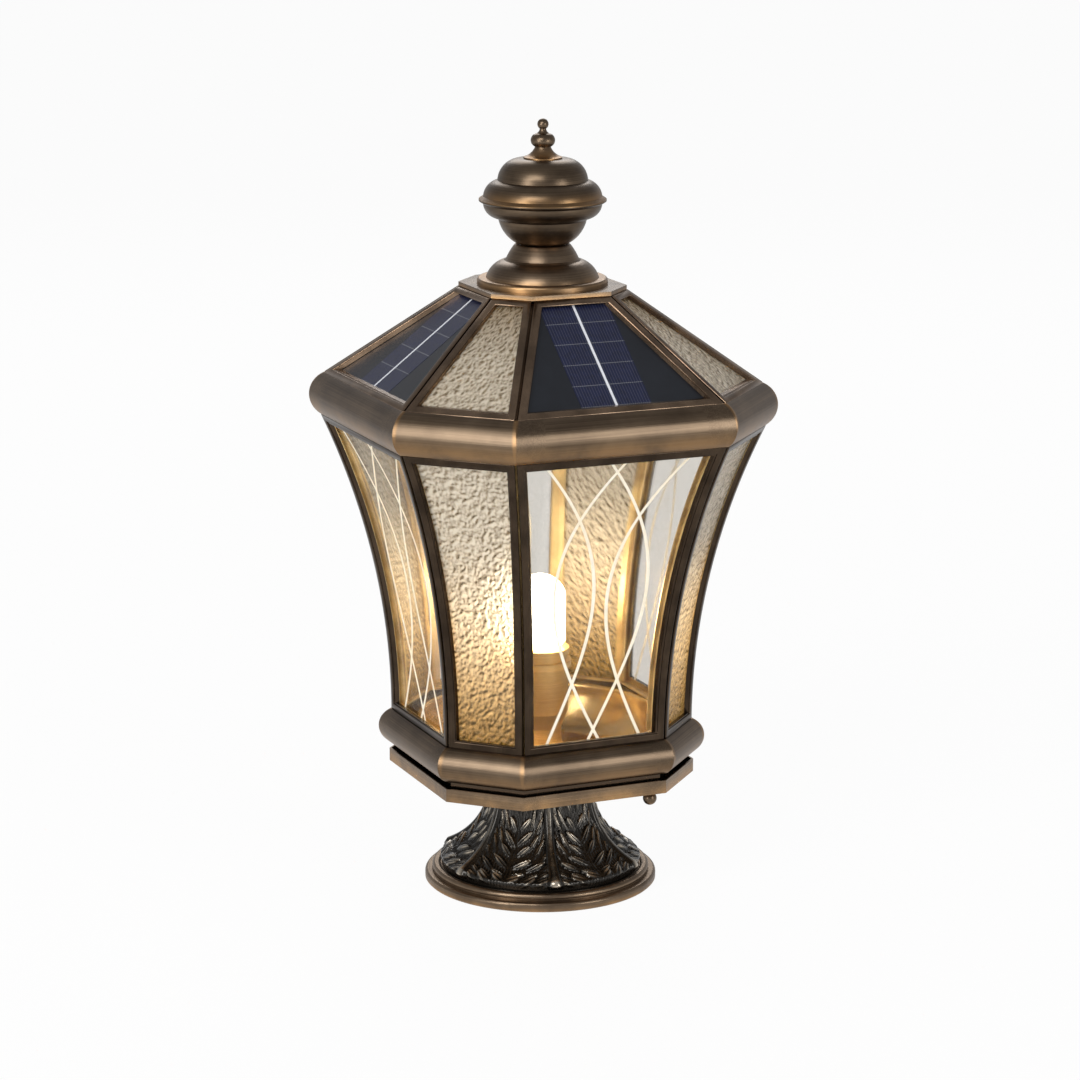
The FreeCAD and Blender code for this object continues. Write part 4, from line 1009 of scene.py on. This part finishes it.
class Bell:
    """The foot's line from the tray down to the flange, and the leaves that cover it."""
    SWEEP = math.radians(66)
    # The flare's arc is a little longer than its chord
    ARC_RATIO = 1.08
    STEM_RADIUS = 3.5 * MM
    STEM_RISE = 3.4 * MM
    STEM_FOOT = 0.8
    FLUTE_SPACING = 2.5 * MM
    FLUTE_DEPTH = 0.7 * MM
    FLUTE_SWAY = 9 * MM
    # How bright the flutes and the stems' toes are rubbed, how bright the painted highlight along each
    # stem's crest is, and where the toes start
    FLUTE_SHINE = 0.25
    STEM_PAINTED_HIGHLIGHT = 0.45
    TOE_SHINE = 0.5
    TOE_START = 0.86
    TOP_FADE = 5 * MM
    TOE_FADE = 2.5 * MM

    def __init__(self, sizes):
        low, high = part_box("foot_casting")
        self.top = high.z
        self.seat = low.z
        self.neck = sizes.foot_neck
        self.toe = sizes.foot_toe
        rise = self.top - sizes.foot_neck_length - self.seat - sizes.foot_toe_height
        spread = self.toe - self.neck
        self.wide = spread / (1 - math.cos(self.SWEEP))
        self.tall = rise / math.sin(self.SWEEP)
        flare = math.hypot(rise, spread) * self.ARC_RATIO
        self.lengths = (sizes.foot_neck_length, flare, sizes.foot_toe_height)
        self.length = sum(self.lengths)
        self.bead = self.length - sizes.foot_bead
        draw = random.Random(STRAY_SEED)

        def stray(reach):
            return draw.uniform(-reach, reach)

        self.lobes = []
        for aside, down, lean, length, width, height in LOBES:
            for sign in (-1, 1):
                self.lobes.append(Lobe(
                    sign * aside + stray(ASIDE_STRAY), down + stray(DOWN_STRAY),
                    sign * lean + stray(LEAN_STRAY), length * (1 + stray(SIZE_STRAY)), width,
                    height * (1 + stray(SIZE_STRAY))))

    def at(self, way):
        """Radius, height and outward normal at a distance down the bell."""
        neck, flare, toe = self.lengths
        if way <= neck:
            return self.neck, self.top - way, Vector((1, 0))
        if way <= neck + flare:
            angle = self.SWEEP * (way - neck) / flare
            normal = Vector((self.tall * math.cos(angle), self.wide * math.sin(angle))).normalized()
            radius = self.neck + self.wide * (1 - math.cos(angle))
            return radius, self.top - neck - self.tall * math.sin(angle), normal
        return self.toe, self.seat + self.length - way, Vector((1, 0))

    def relief(self, turn, way):
        """Height of stems and leaves over the bell, and how bright they are rubbed, with a painted
        highlight along each stem's crest.

        The turn runs from -1 to 1 between two stems.
        """
        half = math.pi / LEAVES * self.at(way)[0]
        aside = turn * half
        fade = min(1.0, way / self.TOP_FADE, max(0.0, self.bead - way) / self.TOE_FADE)
        sway = math.sin(way / self.FLUTE_SWAY)
        flute = 0.5 + 0.5 * math.sin(2 * math.pi * aside / self.FLUTE_SPACING + sway)
        height = self.FLUTE_DEPTH * flute
        bright = self.FLUTE_SHINE * flute
        for lobe in self.lobes:
            rise, share = lobe.rise(aside / MM, way / MM)
            if rise * MM > height:
                height = rise * MM
                bright = share
        radius = self.STEM_RADIUS * (1 + self.STEM_FOOT * (way / self.length) ** 4)
        apart = (half - abs(aside)) / radius
        if apart < 1:
            tube = math.sqrt(1 - apart ** 2)
            height = max(height * apart, self.STEM_RISE * tube)
            toe = max(0.0, way / self.length - self.TOE_START) / (1 - self.TOE_START)
            # A painted highlight along the stem's crest, and the stem's toes rubbed bright
            bright = self.STEM_PAINTED_HIGHLIGHT * tube ** 6 + self.TOE_SHINE * toe
        return height * fade, bright * fade


class LAMP_OT_leaf_foot(bpy.types.Operator):
    """Cast the foot's bell with its stems and leaves"""
    bl_idname = "lamp.leaf_foot"
    bl_label = "Leaf Foot"

    def execute(self, context):
        sizes = context.scene.lamp_sizes
        colours = context.scene.lamp_colours
        bell = Bell(sizes)
        line = [(bell.length * row / LEAF_ROWS, None) for row in range(LEAF_ROWS + 1)]
        for row in range(HOLLOW_ROWS, -1, -1):
            way = bell.lengths[0] + (bell.length - bell.lengths[0]) * row / HOLLOW_ROWS
            radius, level, normal = bell.at(way)
            inner = radius - normal.x * sizes.foot_wall
            line.append((None, (inner, max(bell.seat, level - normal.y * sizes.foot_wall))))
        under = bell.top - sizes.foot_wall
        line += [(None, (bell.neck - sizes.foot_wall, under)), (None, (sizes.foot_hole, under))]
        line += [(None, (sizes.foot_hole, bell.top)), (None, (bell.neck, bell.top))]
        bright = []

        def place(across, up):
            way, plain = line[round((1 - up) * (len(line) - 1))]
            turn = 2 * across - 1
            angle = turn * math.pi / LEAVES
            share = 0.0
            if plain:
                radius, level = plain
            else:
                radius, level, normal = bell.at(way)
                height, share = bell.relief(turn, way)
                radius += normal.x * height
                level += normal.y * height
            bright.append(share)
            return Vector((radius * math.cos(angle), radius * math.sin(angle), level))

        leaf = shaped_grid("leaf", LEAF_COLUMNS, len(line) - 1, place)
        # Rubbed wear and painted highlights, for the casting's colour
        ridge = leaf.data.attributes.new("ridge", "FLOAT", "POINT")
        ridge.data.foreach_set("value", bright)
        turns = [LEAF_TURN + 360 * number / LEAVES for number in range(LEAVES)]
        copies = [turned_copy(leaf, "foot_leaves", degrees) for degrees in turns]
        discard(leaf)
        foot = joined(copies)
        close_seams(foot, outward=True)
        material = cast_bronze("leaf_bronze", colours.cast_dark, colours.cast_rub_and_glint)
        dress(foot, material, smooth=50)
        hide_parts("foot_casting")
        return {"FINISHED"}


# Painted light and shade: how much paler or darker than the rest a bronze piece is made, for how light
# falls on it
PAINTED_LIGHT_GAIN = {"tray": 1.25, "foot_flange": 1.3, "neck_cap": 1.2, "lower_bowl": 0.75, "upper_dome": 0.8}
SLEEVE_BLUE = (0.08, 0.16, 0.32)
CASE_BLACK = (0.05, 0.05, 0.05)


class LAMP_OT_metalwork(bpy.types.Operator):
    """Finish the turned, rolled and folded bronze, the bulb and the pieces inside"""
    bl_idname = "lamp.metalwork"
    bl_label = "Metalwork"

    def execute(self, context):
        colours = context.scene.lamp_colours
        tones = (colours.bronze_dark, colours.bronze_body, colours.bronze_rub)
        finishes = {}
        for node in ("cornice", "base_moulding"):
            finishes[node] = rolled_bronze(f"{node}_bronze", node, tones)

        def painted_light_tones(node):
            return [Vector(tone) * PAINTED_LIGHT_GAIN.get(node, 1.0) for tone in tones]

        for node in ("tray", "crown_plate"):
            finishes[node] = brushed_bronze(f"{node}_bronze", node, painted_light_tones(node), "eight", rub_band=1.1)
        for node in ("neck_cap", "lower_bowl", "upper_dome", "finial_knob", "foot_flange", *NUTS):
            finishes[node] = brushed_bronze(f"{node}_bronze", node, painted_light_tones(node), "round", rough=0.27)
        brasses = (colours.brass_dark, colours.brass, colours.brass)
        for node in ("holder_cup", "lamp_holder", "holder_ring"):
            finishes[node] = brushed_bronze(
                f"{node}_brass", node, brasses, "round", rough=0.30, metallic=0.5)
        finishes["floor_pan"] = pan_brass("pan_brass", brasses[:2], colours.bronze_dark)
        finishes["bulb"] = lit_bulb("lit_bulb", colours.glow)
        steel = plain_steel("plated_steel")
        for node in ("bottom_plate", "centre_nipple", "nipple_nuts", "finial_rod", "rod_nut", "tray_studs"):
            finishes[node] = steel
        finishes["battery_pack"] = plain_plastic("battery_sleeve", SLEEVE_BLUE)
        finishes["charge_controller"] = plain_plastic("controller_case", CASE_BLACK)
        for node, material in finishes.items():
            coat(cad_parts[node], material)
        return {"FINISHED"}


# Steps round the floor dish, up its bowl and over its rolled rim
DISH_COLUMNS = 128
BOWL_ROWS = 18
ROLL_ROWS = 12
ROLL_TURN = math.radians(250)


class LAMP_OT_floor_dish(bpy.types.Operator):
    """Spin the round brass dish that lines the floor pan"""
    bl_idname = "lamp.floor_dish"
    bl_label = "Floor Dish"

    def execute(self, context):
        sizes = context.scene.lamp_sizes
        low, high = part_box("floor_pan")
        floor = low.z + sizes.pan_sheet + sizes.dish_wall + SLIVER
        rim = high.x - sizes.pan_sheet - sizes.dish_gap - 2 * sizes.dish_roll
        level = high.z - sizes.dish_gap - sizes.dish_roll
        line = []
        for row in range(BOWL_ROWS + 1):
            angle = math.pi / 2 * row / BOWL_ROWS
            line.append((
                sizes.dish_foot + (rim - sizes.dish_foot) * math.sin(angle),
                floor + (level - floor) * (1 - math.cos(angle))))
        for row in range(1, ROLL_ROWS + 1):
            angle = math.pi - ROLL_TURN * row / ROLL_ROWS
            line.append((
                rim + sizes.dish_roll * (1 + math.cos(angle)),
                level + sizes.dish_roll * math.sin(angle)))

        def place(across, up):
            radius, height = line[round(up * (len(line) - 1))]
            angle = -2 * math.pi * across
            return Vector((radius * math.cos(angle), radius * math.sin(angle), height))

        dish = shaped_grid("floor_dish", DISH_COLUMNS, len(line) - 1, place)
        close_seams(dish)
        apply_modifier(dish, "SOLIDIFY", thickness=sizes.dish_wall, offset=-1)
        dress(dish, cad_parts["floor_pan"].active_material, smooth=40)
        return {"FINISHED"}


# Floor and lamps of the studio: name, place, size and power
FLOOR_SIZE = 60.0
LAMPS = (
    ("key_left", (-2.3, -1.2, 0.9), (0.7, 1.6), 25),
    ("key_right", (1.25, -2.5, 0.7), (0.7, 1.5), 18),
    ("front_top", (-1.6, -1.6, 2.1), (1.6, 0.8), 26),
    ("back", (0.9, 2.3, 1.9), (1.6, 1.6), 20),
)
LAMP_AIM = Vector((0, 0, 0.28))
SENSOR_WIDTH = 36.0
WHITE = (1.0, 1.0, 1.0)
FLOOR_TONE = (0.90, 0.90, 0.90)
ROOM_TONE = (0.84, 0.84, 0.86)
ROOM_STRENGTH = 0.38


def ray_kinds(start):
    """Whether a ray comes from the camera, from gloss or through glass."""
    return (start.node("LightPath", output=index) for index in (0, 3, 6))


def far_side(start, place):
    """How far a place lies past the lamp, as the camera stands."""
    ahead = Matrix.Rotation(bpy.context.scene.lamp_studio.azimuth, 3, "Z") @ Vector((0, 1, 0))
    return start.node("VectorMath", {"operation": "DOT_PRODUCT"}, {0: place, 1: tuple(ahead)}, output=1)


class LAMP_OT_stage(bpy.types.Operator):
    """Set up the pale floor, the soft light and the camera"""
    bl_idname = "lamp.stage"
    bl_label = "Studio"

    def execute(self, context):
        scene = context.scene
        studio = scene.lamp_studio
        scene.view_settings.view_transform = "Standard"
        self.make_floor()
        self.make_world(scene)
        for name, place, size, power in LAMPS:
            self.add_lamp(scene, name, Vector(place), size, power)
        self.add_camera(scene, studio)
        return {"FINISHED"}

    def make_floor(self):
        bpy.ops.object.select_all(action="DESELECT")
        bpy.ops.mesh.primitive_plane_add(size=FLOOR_SIZE)
        floor = bpy.context.active_object
        floor.name = "studio_floor"
        finish = Finish("pale_floor")
        start = finish.start
        camera, glossy, through = ray_kinds(start)
        gloss = glossy * far_side(start, finish.place).ease(-0.4, 0.6, 0.55, 0.22)
        seen = camera.most(gloss).most(through)
        shade = start.node("BsdfDiffuse", inputs={"Color": opaque(FLOOR_TONE)})
        white = start.node("Emission", inputs={"Color": opaque(WHITE), "Strength": 1.0})
        mixed = start.node("MixShader", inputs={0: seen * 0.95, 1: shade, 2: white})
        floor.data.materials.append(finish.end(mixed))

    def make_world(self, scene):
        """White behind the lamp; the room on the camera's side is dimmer, and gloss shows that."""
        world = bpy.data.worlds.new("studio_world")
        world.use_nodes = True
        world.node_tree.nodes.clear()
        start = Wire(world.node_tree)
        camera, glossy, through = ray_kinds(start)
        heading = start.node("TexCoord", output=0)
        height = start.node("SeparateXYZ", inputs={0: heading}, output=2)
        gloss = glossy * far_side(start, heading).ease(-0.6, 0.8, 0.0, 0.3) * height.ease(0.45, 0.15)
        seen = camera.most(through).most(gloss)
        room = start.node("Background", inputs={"Color": opaque(ROOM_TONE), "Strength": ROOM_STRENGTH})
        white = start.node("Background", inputs={"Color": opaque(WHITE), "Strength": 1.0})
        mixed = start.node("MixShader", inputs={0: seen, 1: room, 2: white})
        start.node("OutputWorld", inputs={"Surface": mixed})
        scene.world = world

    def add_lamp(self, scene, name, place, size, power):
        light = bpy.data.lights.new(name, "AREA")
        light.shape = "RECTANGLE"
        light.size, light.size_y = size
        light.energy = power
        lamp = bpy.data.objects.new(name, light)
        lamp.location = place
        lamp.rotation_euler = (LAMP_AIM - place).to_track_quat("-Z", "Y").to_euler()
        scene.collection.objects.link(lamp)

    def add_camera(self, scene, studio):
        lens = bpy.data.cameras.new("camera")
        lens.lens = studio.lens
        lens.sensor_width = SENSOR_WIDTH
        lens.sensor_fit = "HORIZONTAL"
        camera = bpy.data.objects.new("camera", lens)
        scene.collection.objects.link(camera)
        turn = Matrix.Rotation(studio.azimuth, 4, "Z")
        tilt = Matrix.Rotation(math.radians(90) - studio.elevation, 4, "X")
        roll = Matrix.Rotation(studio.roll, 4, "Z")
        aim = turn @ Vector((studio.aim_aside, 0, studio.aim_height))
        back = turn @ Vector((0, -math.cos(studio.elevation), math.sin(studio.elevation)))
        camera.matrix_world = Matrix.Translation(aim + back * studio.distance) @ turn @ tilt @ roll
        scene.camera = camera


class LAMP_PT_panel(bpy.types.Panel):
    """Steps that dress the pillar lamp"""
    bl_idname = "LAMP_PT_panel"
    bl_label = "Pillar Lamp"
    bl_space_type = "VIEW_3D"
    bl_region_type = "UI"
    bl_category = "Pillar Lamp"

    def draw(self, context):
        for step in STEPS:
            self.layout.operator(step.bl_idname)


STEPS = (
    LAMP_OT_metalwork, LAMP_OT_floor_dish, LAMP_OT_frames, LAMP_OT_hammered_glass, LAMP_OT_etched_glass,
    LAMP_OT_solar_cells, LAMP_OT_leaf_foot, LAMP_OT_stage,
)
GROUPS = {"lamp_sizes": LampSizes, "lamp_colours": LampColours, "lamp_studio": LampStudio}


def register():
    for item in (*GROUPS.values(), *STEPS, LAMP_PT_panel):
        bpy.utils.register_class(item)
    for name, group in GROUPS.items():
        setattr(bpy.types.Scene, name, PointerProperty(type=group))


def unregister():
    for name in GROUPS:
        delattr(bpy.types.Scene, name)
    for item in (LAMP_PT_panel, *reversed(STEPS), *reversed(GROUPS.values())):
        bpy.utils.unregister_class(item)


def main():
    register()
    bpy.ops.lamp.metalwork()
    bpy.ops.lamp.floor_dish()
    bpy.ops.lamp.frames()
    bpy.ops.lamp.hammered_glass()
    bpy.ops.lamp.etched_glass()
    bpy.ops.lamp.solar_cells()
    bpy.ops.lamp.leaf_foot()
    bpy.ops.lamp.stage()


if __name__ == "__main__":
    main()
